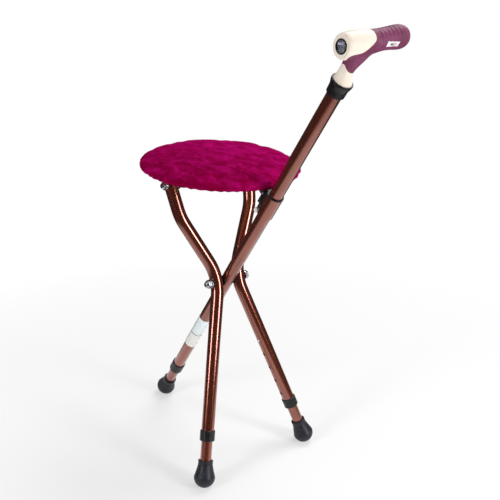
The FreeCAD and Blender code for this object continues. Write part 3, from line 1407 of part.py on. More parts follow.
os.makedirs("parts", exist_ok=True)
for name, thing in nodes.items():
    thing.Shape.exportStep(os.path.join("parts", name + ".step"))
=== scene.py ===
"""Walking stick seat: the looks of a folding stick with a round padded seat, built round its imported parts."""

import logging
import math
from dataclasses import dataclass, field
from enum import Enum
from typing import Optional, Sequence

import bmesh
import bpy
from mathutils import Matrix, Vector, noise

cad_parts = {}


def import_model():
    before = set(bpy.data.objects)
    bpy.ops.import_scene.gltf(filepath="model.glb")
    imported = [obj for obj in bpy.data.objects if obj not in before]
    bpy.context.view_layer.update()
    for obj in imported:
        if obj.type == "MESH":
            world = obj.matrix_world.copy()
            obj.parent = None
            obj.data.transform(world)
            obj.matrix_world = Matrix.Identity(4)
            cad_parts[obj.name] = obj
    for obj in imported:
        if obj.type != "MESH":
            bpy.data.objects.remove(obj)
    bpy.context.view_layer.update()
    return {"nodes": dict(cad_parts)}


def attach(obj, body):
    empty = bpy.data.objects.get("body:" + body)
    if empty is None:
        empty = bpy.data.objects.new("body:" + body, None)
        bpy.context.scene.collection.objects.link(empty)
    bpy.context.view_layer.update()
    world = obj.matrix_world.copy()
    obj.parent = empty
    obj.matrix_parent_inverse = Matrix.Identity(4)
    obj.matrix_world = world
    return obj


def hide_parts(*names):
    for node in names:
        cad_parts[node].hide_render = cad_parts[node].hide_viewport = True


LOG = logging.getLogger("stick_seat")

MM = 0.001
WHITE = (1.0, 1.0, 1.0, 1.0)
# Rolled and pressed textiles have a broad sheen
SHEEN_ROUGHNESS = 0.45
# A band of the wave texture repeats this many times in one of its units
WAVE_BANDS = 20
# How far apart, in the mesh's own unit, two points still count as one
SAME_POINT = 0.001


class Body(str, Enum):
    """The moving bodies that new pieces ride on."""

    SHAFT = "shaft"
    SEAT = "seat"


class Direction(Enum):
    """Which way a finish's grain runs."""

    ALL_WAYS = (1.0, 1.0, 1.0)
    ALONG_X = (0.06, 1.0, 1.0)
    ALONG_Z = (1.0, 1.0, 0.06)


def linear(code: str) -> tuple[float, float, float, float]:
    """Turns an sRGB hex colour into the linear one that a node takes.

    Args:
        code: The colour as #rrggbb.

    Returns:
        Red, green, blue and alpha.
    """
    parts = [int(code[i:i + 2], 16) / 255 for i in (1, 3, 5)]
    red, green, blue = (p / 12.92 if p <= 0.04045 else ((p + 0.055) / 1.055) ** 2.4 for p in parts)
    return red, green, blue, 1.0


def add(tree: bpy.types.NodeTree, kind: str, inputs: Optional[dict] = None, **settings) -> bpy.types.Node:
    """Adds one shader node with its settings and links.

    Args:
        tree: The node tree.
        kind: The node's type, without its ShaderNode prefix.
        inputs: A value or an output socket for each input, by name or number.
        **settings: The node's own attributes.

    Returns:
        The new node.
    """
    node = tree.nodes.new("ShaderNode" + kind)
    for name, value in settings.items():
        setattr(node, name, value)
    for name, value in (inputs or {}).items():
        if isinstance(value, bpy.types.NodeSocket):
            tree.links.new(value, node.inputs[name])
        else:
            node.inputs[name].default_value = value
    return node


def empty_material(name: str) -> bpy.types.Material:
    """Makes a material with no nodes yet.

    Args:
        name: Its name.

    Returns:
        The new material.
    """
    made = bpy.data.materials.new(name)
    made.use_nodes = True
    made.node_tree.nodes.clear()
    return made


def seen_ray(tree: bpy.types.NodeTree) -> bpy.types.NodeSocket:
    """Tells the rays that show a background from those that light the object.

    Args:
        tree: The node tree.

    Returns:
        1 for a camera, glossy or transmission ray and 0 for any other.
    """
    path = add(tree, "LightPath").outputs
    seen = add(tree, "Math", {0: path["Is Camera Ray"], 1: path["Is Glossy Ray"]}, operation="MAXIMUM")
    return add(tree, "Math", {0: seen.outputs[0], 1: path["Is Transmission Ray"]}, operation="MAXIMUM").outputs[0]


@dataclass(frozen=True)
class Finish:
    """A real finish: two tones mottled together, a fine relief and a shine that varies with the mottle."""

    name: str
    tone: str
    second: str
    mottle_mm: float = 9.0
    grain_mm: float = 0.5
    relief_mm: float = 0.01
    shine: tuple[float, float] = (0.35, 0.45)
    metallic: float = 0.0
    specular: float = 0.5
    ior: float = 1.5
    coat: float = 0.0
    coat_roughness: float = 0.1
    coat_ior: float = 1.5
    sheen: float = 0.0
    sheen_tone: str = "#ffffff"
    transmission: float = 0.0
    mottle_span: tuple[float, float] = (0.35, 0.65)
    direction: Direction = Direction.ALL_WAYS

    def place(self, tree: bpy.types.NodeTree) -> bpy.types.NodeSocket:
        """Gives the piece's own coordinates, stretched along the finish's grain."""
        coords = add(tree, "TexCoord").outputs["Object"]
        return add(tree, "Mapping", {"Vector": coords, "Scale": self.direction.value}).outputs[0]

    def pattern(self, tree: bpy.types.NodeTree) -> tuple[bpy.types.NodeSocket, bpy.types.NodeSocket]:
        """Gives the mix of the two tones and the height of the relief.

        Args:
            tree: The material's node tree.

        Returns:
            A factor from 0 to 1 and a height from 0 to 1.
        """
        place = self.place(tree)
        mottle = add(tree, "TexNoise", {"Vector": place, "Scale": 1 / (self.mottle_mm * MM), "Detail": 3.0})
        grain = add(tree, "TexNoise", {"Vector": place, "Scale": 1 / (self.grain_mm * MM), "Detail": 1.0})
        factor = add(tree, "MapRange", {"Value": mottle.outputs[0], "From Min": self.mottle_span[0],
                                        "From Max": self.mottle_span[1]})
        return factor.outputs[0], grain.outputs[0]

    def material(self) -> bpy.types.Material:
        """Makes the finish as a material, or gives the one made before."""
        made = bpy.data.materials.get(self.name)
        if made:
            return made
        made = empty_material(self.name)
        tree = made.node_tree
        factor, height = self.pattern(tree)
        colour = add(tree, "Mix", {0: factor, 6: linear(self.tone), 7: linear(self.second)}, data_type="RGBA")
        rough = add(tree, "MapRange", {"Value": factor, "To Min": self.shine[0], "To Max": self.shine[1]})
        bump = add(tree, "Bump", {"Height": height, "Distance": self.relief_mm * MM, "Strength": 1.0})
        shader = add(tree, "BsdfPrincipled", {
            "Base Color": colour.outputs[2],
            "Roughness": rough.outputs[0],
            "Normal": bump.outputs[0],
            "Metallic": self.metallic,
            "Specular IOR Level": self.specular,
            "IOR": self.ior,
            "Coat Weight": self.coat,
            "Coat Roughness": self.coat_roughness,
            "Coat IOR": self.coat_ior,
            "Sheen Weight": self.sheen,
            "Sheen Roughness": SHEEN_ROUGHNESS,
            "Sheen Tint": linear(self.sheen_tone),
            "Transmission Weight": self.transmission,
        })
        add(tree, "OutputMaterial", {"Surface": shader.outputs[0]})
        return made


@dataclass(frozen=True)
class CrushedPlush(Finish):
    """Plush whose pile lies in swirls: deep crimson where it stands, and a brighter magenta mixed in as painted
    sheen where it leans to the light, with a painted slope of light that brightens it towards +Y and −X.
    """

    swirl_mm: float = 34.0
    swirl_push: float = 0.03
    streak: tuple[float, float, float] = (0.55, 1.0, 1.0)
    # Span of the swirl noise that turns into painted sheen: the real swirls of crushed pile, coloured brighter
    # magenta where they would catch the light
    painted_sheen_span: tuple[float, float] = (0.4, 0.72)
    tuft_span: tuple[float, float] = (0.3, 0.75)
    fleck: tuple[float, float] = (-0.16, 0.28)
    # Painted light: a steady slope of tone across the seat, brighter towards +Y and −X, as light falling from the
    # back
    painted_light_slope: tuple[float, float, float] = (-1.1, 1.55, 0.0)

    def pattern(self, tree: bpy.types.NodeTree) -> tuple[bpy.types.NodeSocket, bpy.types.NodeSocket]:
        """Gives swirled streaks of pile, whose brighter tone is painted sheen, tilted by a painted slope of light,
        and single tufts as the height.

        Args:
            tree: The material's node tree.

        Returns:
            A factor from 0 to 1 and a height.
        """
        place = self.place(tree)
        drift = add(tree, "TexNoise", {"Vector": place, "Scale": 1 / (self.swirl_mm * MM), "Detail": 2.0})
        pushed = add(tree, "VectorMath", {0: drift.outputs[1], 1: (self.swirl_push,) * 3}, operation="MULTIPLY")
        swirled = add(tree, "VectorMath", {0: place, 1: pushed.outputs[0]}, operation="ADD")
        streaked = add(tree, "Mapping", {"Vector": swirled.outputs[0], "Scale": self.streak})
        lie = add(tree, "TexNoise", {"Vector": streaked.outputs[0], "Scale": 1 / (self.mottle_mm * MM),
                                     "Detail": 4.0, "Roughness": 0.6})
        tuft = add(tree, "TexNoise", {"Vector": swirled.outputs[0], "Scale": 1 / (self.grain_mm * MM),
                                      "Detail": 2.0})
        # Painted sheen: the swirled pile takes the brighter magenta tone as colour where it would catch the light
        painted_sheen_patches = add(tree, "MapRange", {"Value": lie.outputs[0], "From Min": self.painted_sheen_span[0],
                                      "From Max": self.painted_sheen_span[1]})
        flecked = add(tree, "MapRange", {"Value": tuft.outputs[0], "From Min": self.tuft_span[0],
                                         "From Max": self.tuft_span[1], "To Min": self.fleck[0],
                                         "To Max": self.fleck[1]})
        # Painted light: the tone rises steadily across the seat towards +Y and −X
        painted_light_ramp = add(tree, "VectorMath", {0: place, 1: self.painted_light_slope}, operation="DOT_PRODUCT")
        painted_sheen_and_light = add(tree, "Math", {0: painted_sheen_patches.outputs[0], 1: painted_light_ramp.outputs["Value"]}, operation="ADD")
        factor = add(tree, "Math", {0: painted_sheen_and_light.outputs[0], 1: flecked.outputs[0]}, operation="ADD", use_clamp=True)
        height = add(tree, "Math", {0: tuft.outputs[0], 1: lie.outputs[0]}, operation="ADD")
        return factor.outputs[0], height.outputs[0]


@dataclass(frozen=True)
class Plywood(Finish):
    """Birch plywood: long grain on its faces and thin dark glue lines through its edge."""

    ply_mm: float = 1.6
    glue_from: float = 0.8
    glue_depth: float = 0.5

    def pattern(self, tree: bpy.types.NodeTree) -> tuple[bpy.types.NodeSocket, bpy.types.NodeSocket]:
        """Gives grain streaks with glue lines across the thickness.

        Args:
            tree: The material's node tree.

        Returns:
            A factor from 0 to 1 and a height from 0 to 1.
        """
        place = self.place(tree)
        grain = add(tree, "TexNoise", {"Vector": place, "Scale": 1 / (self.mottle_mm * MM), "Detail": 5.0})
        fine = add(tree, "TexNoise", {"Vector": place, "Scale": 1 / (self.grain_mm * MM), "Detail": 2.0})
        plies = add(tree, "TexWave", {"Vector": place, "Scale": 1 / (self.ply_mm * MM * WAVE_BANDS),
                                      "Distortion": 0.0}, bands_direction="Z", wave_type="BANDS")
        line = add(tree, "MapRange", {"Value": plies.outputs[1], "From Min": self.glue_from, "From Max": 1.0,
                                      "To Min": 0.0, "To Max": self.glue_depth})
        factor = add(tree, "Math", {0: grain.outputs[0], 1: line.outputs[0]}, operation="ADD", use_clamp=True)
        return factor.outputs[0], fine.outputs[0]


@dataclass(frozen=True)
class BeadedTape(Finish):
    """Reflective tape: glass beads under a clear film, sealed in small cells."""

    cell_mm: float = 3.2
    unevenness: float = 0.15
    seal_span: tuple[float, float] = (0.02, 0.1)

    def pattern(self, tree: bpy.types.NodeTree) -> tuple[bpy.types.NodeSocket, bpy.types.NodeSocket]:
        """Gives the seal lines between the cells as both tone and height.

        Args:
            tree: The material's node tree.

        Returns:
            The same factor from 0 to 1, twice.
        """
        place = self.place(tree)
        cells = add(tree, "TexVoronoi", {"Vector": place, "Scale": 1 / (self.cell_mm * MM),
                                         "Randomness": self.unevenness}, feature="DISTANCE_TO_EDGE")
        seal = add(tree, "MapRange", {"Value": cells.outputs[0], "From Min": self.seal_span[0],
                                      "From Max": self.seal_span[1], "To Min": 1.0, "To Max": 0.0})
        return seal.outputs[0], seal.outputs[0]


# Aluminium tube anodised bronze: metal under a thin hard brown film that mirrors lamps almost white
BRONZE = Finish("bronze_anodised_aluminium", "#91442c", "#853c27", mottle_mm=30, grain_mm=1.6, relief_mm=0.00002,
                shine=(0.18, 0.22), metallic=0.84, specular=0.4, coat=1.0, coat_roughness=0.14, coat_ior=1.75)
# The same film on the inner tubes, dulled by sliding in and out
BRONZE_SLID = Finish("bronze_anodised_aluminium_slid", "#904732", "#833e2b", mottle_mm=22, grain_mm=1.2,
                     relief_mm=0.0002, shine=(0.26, 0.34), metallic=0.76, specular=0.4, coat=0.9,
                     coat_roughness=0.2, coat_ior=1.75)
# Moulded natural rubber with carbon black: blue-black and matt, paler where it has scuffed
RUBBER = Finish("moulded_rubber", "#101219", "#1c1f2a", mottle_mm=7, grain_mm=0.35, relief_mm=0.04,
                shine=(0.4, 0.55), specular=0.4)
# Black moulded nylon with a spark-eroded texture from its mould
NYLON = Finish("moulded_black_nylon", "#0e0f12", "#16171b", mottle_mm=5, grain_mm=0.4, relief_mm=0.03,
               shine=(0.32, 0.44), specular=0.4)
# Glass-filled nylon: fibres show as a faint streak at the surface
FILLED_NYLON = Finish("glass_filled_nylon", "#1c1c1f", "#2a2a2e", mottle_mm=3, grain_mm=0.3, relief_mm=0.04,
                      shine=(0.35, 0.55), direction=Direction.ALONG_Z)
# White nylon turned from bar, slightly waxy
WHITE_NYLON = Finish("turned_white_nylon", "#eef0f2", "#dfe2e6", mottle_mm=2.5, grain_mm=0.3, relief_mm=0.02,
                     shine=(0.35, 0.48))
# Hardened spring steel, polished by use
SPRING_STEEL = Finish("polished_spring_steel", "#d6d8dc", "#b9bcc2", mottle_mm=3, grain_mm=0.25, relief_mm=0.006,
                      shine=(0.14, 0.26), metallic=1.0)
# Zinc-plated steel: bright with cloudy patches
ZINC = Finish("zinc_plated_steel", "#c8cacf", "#a3a7ae", mottle_mm=4, grain_mm=0.3, relief_mm=0.01,
              shine=(0.2, 0.38), metallic=1.0)
# Pressed steel in black stoved enamel: smooth with a slight orange peel
BLACK_ENAMEL = Finish("black_stoved_enamel", "#17171a", "#202024", mottle_mm=8, grain_mm=1.1, relief_mm=0.03,
                      shine=(0.2, 0.3), coat=0.4, coat_roughness=0.08)
# Ivory ABS with a light satin texture
IVORY = Finish("satin_ivory_abs", "#f6ebdd", "#f1e3d2", mottle_mm=30, grain_mm=0.5, relief_mm=0.012,
               shine=(0.42, 0.5), specular=0.4)
# Plum elastomer moulded over the handle: soft and matt with a pale bloom
PLUM = Finish("plum_moulded_elastomer", "#813a60", "#70304f", mottle_mm=16, grain_mm=0.45, relief_mm=0.04,
              shine=(0.5, 0.6), specular=0.32, sheen=0.05, sheen_tone="#e6b9cf")
# Black ABS of the torch's ring, moulded glossy
GLOSS_BLACK = Finish("glossy_black_abs", "#121215", "#1b1b1f", mottle_mm=6, grain_mm=0.5, relief_mm=0.008,
                     shine=(0.12, 0.2), coat=0.5, coat_roughness=0.05)
# Clear polycarbonate lens
CLEAR = Finish("clear_polycarbonate", "#fbfdff", "#f4f8fc", mottle_mm=10, grain_mm=1.5, relief_mm=0.004,
               shine=(0.02, 0.05), transmission=1.0, ior=1.585)
# Vacuum-metallised reflector: a mirror with a faint moulded ripple
MIRROR = Finish("metallised_reflector", "#f6f4f9", "#dcd9e4", mottle_mm=3, grain_mm=2.2, relief_mm=0.05,
                shine=(0.06, 0.14), metallic=0.85)
# Glass-fibre board under green solder mask
BOARD_GREEN = Finish("solder_masked_board", "#1f5b34", "#2a7042", mottle_mm=1.6, grain_mm=0.6, relief_mm=0.03,
                     shine=(0.25, 0.4))
# Nickel-plated steel of the button cells
CELL_STEEL = Finish("nickel_plated_steel", "#cfd0d2", "#b4b6b9", mottle_mm=4, grain_mm=0.3, relief_mm=0.006,
                    shine=(0.12, 0.25), metallic=1.0)
# Pale ABS of the switch surround
SWITCH_PALE = Finish("pale_moulded_abs", "#f8f0f1", "#f2e6e9", mottle_mm=6, grain_mm=0.4, relief_mm=0.02,
                     shine=(0.3, 0.42))
# Grey ABS of the slider
SWITCH_GREY = Finish("grey_moulded_abs", "#d6c8cf", "#c8bac2", mottle_mm=4, grain_mm=0.35, relief_mm=0.03,
                     shine=(0.35, 0.5))
# Reflective tape: the upper band is bluish and the lower one plain
TAPE = BeadedTape("reflective_tape_blue", "#f4fdff", "#dcebf0", relief_mm=0.05, shine=(0.22, 0.4), coat=0.5)
TAPE_LOW = BeadedTape("reflective_tape_white", "#fbfaf6", "#e2e1dc", relief_mm=0.05, shine=(0.22, 0.4), coat=0.5)
# Birch plywood, sanded and unvarnished, drawn with wide grain so that it shows
PLYWOOD = Plywood("birch_plywood", "#cfa873", "#9b7343", mottle_mm=5, grain_mm=0.8, relief_mm=0.06,
                  shine=(0.55, 0.7), direction=Direction.ALONG_X)
# Crushed polyester plush, crimson in its depth; its magenta second tone is painted sheen where the pile leans to the
# light, brightened further by a painted slope of light towards +Y and −X
PLUSH = CrushedPlush("crushed_crimson_plush", "#7c0132", "#ae0b64", mottle_mm=15, grain_mm=1.1, relief_mm=0.35,
                     shine=(0.85, 0.95), specular=0.0, sheen=0.1, sheen_tone="#d0208a")
# Cloth-covered elastic, dyed with the cover
ELASTIC = Finish("covered_elastic", "#7c0539", "#5c0329", mottle_mm=2.4, grain_mm=0.7, relief_mm=0.2,
                 shine=(0.7, 0.85), sheen=0.3, sheen_tone="#d04a8a")


def dress(nodes: dict[str, bpy.types.Object], finishes: dict[Finish, Sequence[str]]) -> None:
    """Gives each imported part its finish.

    Args:
        nodes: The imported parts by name.
        finishes: The names of the parts that have each finish.
    """
    for finish, names in finishes.items():
        for name in names:
            slots = nodes[name].material_slots
            if not slots:
                nodes[name].data.materials.append(finish.material())
            for slot in slots:
                slot.material = finish.material()


def new_piece(name: str, shape: bmesh.types.BMesh, finish: Finish, body: Body) -> bpy.types.Object:
    """Makes a piece of the scene from a shape in metres.

    Args:
        name: The piece's name.
        shape: The shape, which is freed here.
        finish: Its finish.
        body: The body that it rides on.

    Returns:
        The new object, smooth-shaded.
    """
    mesh = bpy.data.meshes.new(name)
    bmesh.ops.recalc_face_normals(shape, faces=shape.faces)
    shape.to_mesh(mesh)
    shape.free()
    mesh.materials.append(finish.material())
    mesh.shade_smooth()
    piece = bpy.data.objects.new(name, mesh)
    bpy.context.scene.collection.objects.link(piece)
    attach(piece, body.value)
    return piece


def full_turn(shape: bmesh.types.BMesh, steps: int) -> None:
    """Spins a section once round Z and joins its ends.

    Args:
        shape: The section, as vertices and edges.
        steps: The number of steps in the turn.
    """
    bmesh.ops.spin(shape, geom=shape.verts[:] + shape.edges[:], cent=(0, 0, 0), axis=(0, 0, 1), dvec=(0, 0, 0),
                   angle=math.tau, steps=steps, use_merge=True, use_normal_flip=False, use_duplicate=False)


def stage_piece(name: str, shape: bmesh.types.BMesh, material: bpy.types.Material) -> bpy.types.Object:
    """Makes a piece of the set, which is no part of the object.

    Args:
        name: The piece's name.
        shape: The shape in metres, which is freed here.
        material: Its material.

    Returns:
        The new object.
    """
    mesh = bpy.data.meshes.new(name)
    shape.to_mesh(mesh)
    shape.free()
    mesh.materials.append(material)
    piece = bpy.data.objects.new(name, mesh)
    bpy.context.scene.collection.objects.link(piece)
    return piece


def smooth_step(low: float, high: float, value: float) -> float:
    """Gives 0 below low, 1 above high and a smooth rise between them."""
    share = min(1.0, max(0.0, (value - low) / (high - low)))
    return share * share * (3 - 2 * share)


@dataclass(frozen=True)
class Padding:
    """How the cloth simulation swells the padding, in Blender's units, and how far, in millimetres."""

    steps: int = 20
    quality: int = 6
    mass: float = 0.2
    stretch: float = 14.0
    shear: float = 6.0
    bending: float = 0.3
    pressure: float = 4.0
    shrink: float = -0.02
    cap: float = 3.4
    held_below: float = 0.5

    def swell(self, piece: bpy.types.Object, held: bpy.types.VertexGroup) -> None:
        """Runs the simulation and moves the piece's vertices by its result, capped.

        Args:
            piece: The cover, in metres in the board's frame.
            held: The vertices that stay where they are.
        """
        before = [v.co.copy() for v in piece.data.vertices]
        modifier = piece.modifiers.new("padding", "CLOTH")
        cloth = modifier.settings
        cloth.quality = self.quality
        cloth.mass = self.mass
        cloth.tension_stiffness = cloth.compression_stiffness = self.stretch
        cloth.shear_stiffness = self.shear
        cloth.bending_stiffness = self.bending
        cloth.use_pressure = True
        cloth.uniform_pressure_force = self.pressure
        cloth.shrink_min = self.shrink
        cloth.effector_weights.gravity = 0
        cloth.vertex_group_mass = held.name
        modifier.collision_settings.use_collision = False
        scene = bpy.context.scene
        for step in range(1, self.steps + 1):
            scene.frame_set(step)
        settled = piece.evaluated_get(bpy.context.evaluated_depsgraph_get()).data
        after = [v.co.copy() for v in settled.vertices]
        piece.modifiers.remove(modifier)
        scene.frame_set(1)
        limit = self.cap * MM
        for vertex, start, end in zip(piece.data.vertices, before, after):
            move = end - start
            vertex.co = start + (move * (limit / move.length) if move.length > limit else move)


@dataclass(frozen=True)
class Gathers:
    """The pleats of the hem, the tufts of the pile and the slow swells of the padding, in millimetres."""

    pleats: int = 56
    pleat_height: float = 0.95
    half_pleats: float = 0.35
    drift: float = 2.4
    drift_pace: float = 2.6
    half_drift: float = 1.7
    depth: float = 0.65
    depth_change: float = 0.5
    depth_pace: float = 5.0
    depth_shift: float = 7.0
    pleats_full_at: float = -1.0
    pleats_end_at: float = 13.0
    rim_inside: float = 26.0
    rim_outside: float = 2.0
    tuft_height: float = 0.38
    tufts: tuple[tuple[float, float], ...] = ((3.1, 0.5), (1.4, 0.3))
    swell_height: float = 0.8
    swell_size: float = 24.0
    swell_on_top: float = 0.6
    swell_below: float = 0.3

    def pleat(self, angle: float) -> float:
        """Gives the height of the pleats at an angle round the seat, as a share of the whole height.

        Args:
            angle: The angle round the seat.

        Returns:
            The share, which is negative between two pleats.
        """
        around = Vector((math.cos(angle), math.sin(angle), 0.0))
        drift = noise.noise(around * self.drift_pace) * self.drift
        shift = Vector((self.depth_shift, 0.0, 0.0))
        depth = self.depth + self.depth_change * noise.noise(around * self.depth_pace + shift)
        halves = math.sin(2 * self.pleats * angle - self.half_drift * drift)
        return (math.sin(self.pleats * angle + drift) + self.half_pleats * halves) * depth

    def tuft(self, point: Vector) -> float:
        """Gives the height of the tufts at a point, from a coarse and a fine noise."""
        (coarse, coarse_share), (fine, fine_share) = self.tufts
        return noise.noise(point / coarse) * coarse_share + noise.noise(point / fine) * fine_share


@dataclass(frozen=True)
class Pucker:
    """The small waves that the stitches pull into the elastic's cloth, as shares of its thickness."""

    stitches: int = 170
    stitch_depth: float = 0.16
    slub_depth: float = 0.1
    slub_size: float = 6.0

    def width(self, angle: float, core: Vector) -> float:
        """Gives the elastic's width at a point of its core, as a share of its usual width."""
        slub = self.slub_depth * noise.noise(core / self.slub_size)
        return 1.0 + self.stitch_depth * math.sin(self.stitches * angle) + slub


@dataclass
class Seat:
    """The plywood seat with its padding and its plush cover, gathered under the board by an elastic."""

    centre: Vector = field(default_factory=lambda: Vector((-59.619, 0.0, 515.063)))
    tilt: float = math.radians(3.5)
    board_radius: float = 127.3
    board_thick: float = 8.3
    rim_radius: float = 131.6
    hem_radius: float = 104.5
    hem_thick: float = 2.4
    crown: float = 19.4
    segments: int = 144
    padding: Padding = Padding()
    gathers: Gathers = Gathers()
    pile_fill: float = 0.55
    notch_half: float = 14.5
    notch_ease: float = 9.0
    notch_margin: float = 0.8
    notch_top: float = 0.4
    lining_drop: float = 0.35
    lining_slack: float = 0.05
    elastic_radius: float = 102.8
    elastic_drop: float = 1.75
    elastic_thick: float = 1.5
    elastic_sides: int = 10
    elastic_steps: int = 520
    elastic_gap: float = 0.02
    pucker: Pucker = Pucker()

    def frame(self) -> Matrix:
        """Gives the board's frame in metres: its underside's centre, with Z square to it."""
        return Matrix.Translation(self.centre * MM) @ Matrix.Rotation(self.tilt, 4, "Y")

    def profile(self) -> list[tuple[float, float, int]]:
        """Gives the cover's section from the crown round the rim to the lining, as radius, rise and cuts."""
        top = self.board_thick + 5.0
        return [
            (0, self.crown, 6), (38, self.crown - 0.5, 7), (76, self.crown - 2.3, 6), (108, self.crown - 4.4, 3),
            (122, top, 1), (128.5, top - 2.2, 1), (self.rim_radius, top - 6.5, 1), (self.rim_radius - 0.2, 3.0, 1),
            (129.5, -1.2, 1), (125, -self.hem_thick - 0.3, 3), (self.hem_radius, -self.hem_thick - 0.1, 0),
            (self.hem_radius - 0.9, -1.3, 0), (self.hem_radius, -0.3, 2), (self.board_radius, -0.3, 1),
            (self.board_radius, self.board_thick, 8), (0, self.board_thick, 0),
        ]

    def skin(self) -> bmesh.types.BMesh:
        """Spins the section into the closed cover, in millimetres in the board's frame."""
        shape = bmesh.new()
        corners = [shape.verts.new((radius, 0.0, rise)) for radius, rise, _ in self.profile()]
        edges = [shape.edges.new(pair) for pair in zip(corners, corners[1:])]
        for edge, (_, _, cuts) in zip(edges, self.profile()):
            if cuts:
                bmesh.ops.subdivide_edges(shape, edges=[edge], cuts=cuts)
        full_turn(shape, self.segments)
        bmesh.ops.remove_doubles(shape, verts=shape.verts, dist=10 * SAME_POINT)
        bmesh.ops.recalc_face_normals(shape, faces=shape.faces)
        return shape

    def lines_board(self, point: Vector) -> bool:
        """Says whether a point of the cover lies on its lining, against the board."""
        radius = math.hypot(point.x, point.y)
        inside = radius < self.board_radius + self.lining_slack
        return inside and -self.lining_drop < point.z < self.board_thick + self.lining_slack

    def swell(self, piece: bpy.types.Object) -> None:
        """Swells the padding with the cloth simulation, held by its lining and its hem.

        Args:
            piece: The cover, in metres in the board's frame.
        """
        held = piece.vertex_groups.new(name="held")
        held.add([v.index for v in piece.data.vertices
                  if v.co.z < self.padding.held_below * MM or self.lines_board(v.co / MM)], 1.0, "REPLACE")
        self.padding.swell(piece, held)
        piece.vertex_groups.remove(held)

    def finer(self, piece: bpy.types.Object) -> None:
        """Subdivides the cover once and keeps the result.

        Args:
            piece: The cover.
        """
        modifier = piece.modifiers.new("finer", "SUBSURF")
        modifier.levels = modifier.render_levels = 1
        made = bpy.data.meshes.new_from_object(piece.evaluated_get(bpy.context.evaluated_depsgraph_get()))
        piece.modifiers.remove(modifier)
        piece.data = made

    def gathered(self, point: Vector, normal: Vector) -> Vector:
        """Draws a point of the cover into the pleats of the hem and lifts it into tufts.

        Args:
            point: The point, in millimetres in the board's frame.
            normal: The cover's normal there.

        Returns:
            The moved point.
        """
        folds = self.gathers
        radius = math.hypot(point.x, point.y)
        low = 1.0 - smooth_step(folds.pleats_full_at, folds.pleats_end_at, point.z)
        rim = 1.0
        if point.z > 0:
            rim = smooth_step(self.board_radius - folds.rim_inside, self.board_radius + folds.rim_outside, radius)
        pleat = folds.pleat(math.atan2(point.y, point.x))
        moved = point + normal * (pleat * folds.pleat_height * low * rim)
        moved += normal * (folds.tuft(point) * folds.tuft_height)
        swell = noise.noise(point / folds.swell_size) * folds.swell_height
        moved += normal * (swell * (folds.swell_on_top if point.z > self.board_thick else folds.swell_below))
        return moved

    def notched(self, point: Vector) -> Vector:
        """Draws the hem back from the clevis at the front of the seat.

        Args:
            point: The point, in millimetres in the board's frame.

        Returns:
            The moved point.
        """
        radius = math.hypot(point.x, point.y)
        if point.z > self.board_thick * self.notch_top or point.x < 0 or radius > self.board_radius:
            return point
        clear = 1.0 - smooth_step(self.notch_half, self.notch_half + self.notch_ease, abs(point.y))
        share = (radius - self.hem_radius) / (self.board_radius - self.hem_radius)
        inner = self.hem_radius + clear * (self.board_radius - self.notch_margin - self.hem_radius)
        wanted = inner + share * (self.board_radius - inner)
        return Vector((point.x * wanted / radius, point.y * wanted / radius, point.z))

    def cushion(self) -> bpy.types.Object:
        """Makes the padded cover, swollen, gathered and notched."""
        shape = self.skin()
        bmesh.ops.scale(shape, vec=(MM, MM, MM), verts=shape.verts)
        piece = new_piece("seat_cushion", shape, PLUSH, Body.SEAT)
        self.swell(piece)
        self.finer(piece)
        normals = [v.normal.copy() for v in piece.data.vertices]
        for vertex, normal in zip(piece.data.vertices, normals):
            point = vertex.co / MM
            if not self.lines_board(point):
                point = self.gathered(point, normal)
            vertex.co = self.notched(point) * MM
        piece.data.transform(self.frame())
        piece.data.shade_smooth()
        finer = piece.modifiers.new("pile", "SUBSURF")
        finer.levels = finer.render_levels = 1
        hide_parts("seat_cover", "seat_foam")
        return piece

    def hem_cord(self) -> bpy.types.Object:
        """Makes the covered elastic along the hem, open at the clevis."""
        shape = bmesh.new()
        ring = bmesh.ops.create_circle(shape, cap_ends=False, segments=self.elastic_sides, radius=self.elastic_thick)
        turn = Matrix.Rotation(math.pi / 2, 3, "X")
        bmesh.ops.rotate(shape, cent=(0, 0, 0), matrix=turn, verts=ring["verts"])
        bmesh.ops.translate(shape, vec=(self.elastic_radius, 0, -self.elastic_drop), verts=shape.verts)
        opening = math.asin(self.notch_half / self.elastic_radius) + self.elastic_gap
        bmesh.ops.rotate(shape, cent=(0, 0, 0), matrix=Matrix.Rotation(opening, 3, "Z"), verts=shape.verts)
        bmesh.ops.spin(shape, geom=shape.verts[:] + shape.edges[:], cent=(0, 0, 0), axis=(0, 0, 1),
                       dvec=(0, 0, 0), angle=math.tau - 2 * opening, steps=self.elastic_steps, use_merge=False,
                       use_normal_flip=False, use_duplicate=False)
        bmesh.ops.holes_fill(shape, edges=[e for e in shape.edges if e.is_boundary], sides=0)
        drop = Vector((0, 0, -self.elastic_drop))
        for vertex in shape.verts:
            angle = math.atan2(vertex.co.y, vertex.co.x)
            core = Vector((math.cos(angle), math.sin(angle), 0)) * self.elastic_radius + drop
            vertex.co = core + (vertex.co - core) * self.pucker.width(angle, core)
        bmesh.ops.scale(shape, vec=(MM, MM, MM), verts=shape.verts)
        bmesh.ops.transform(shape, matrix=self.frame(), verts=shape.verts)
        piece = new_piece("hem_cord", shape, ELASTIC, Body.SEAT)
        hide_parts("hem_elastic")
        return piece

    def build(self, nodes: dict[str, bpy.types.Object]) -> list[bpy.types.Object]:
        """Dresses the board and its fittings and makes the cushion and its cord.

        Args:
            nodes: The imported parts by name.

        Returns:
            The new pieces.
        """
        dress(nodes, {
            PLYWOOD: ["seat_board"],
            BLACK_ENAMEL: ["leg_yoke", "seat_bracket"],
            ZINC: ["seat_screws", "hinge_bolts", "hinge_nuts"],
        })
        return [self.cushion(), self.hem_cord()]


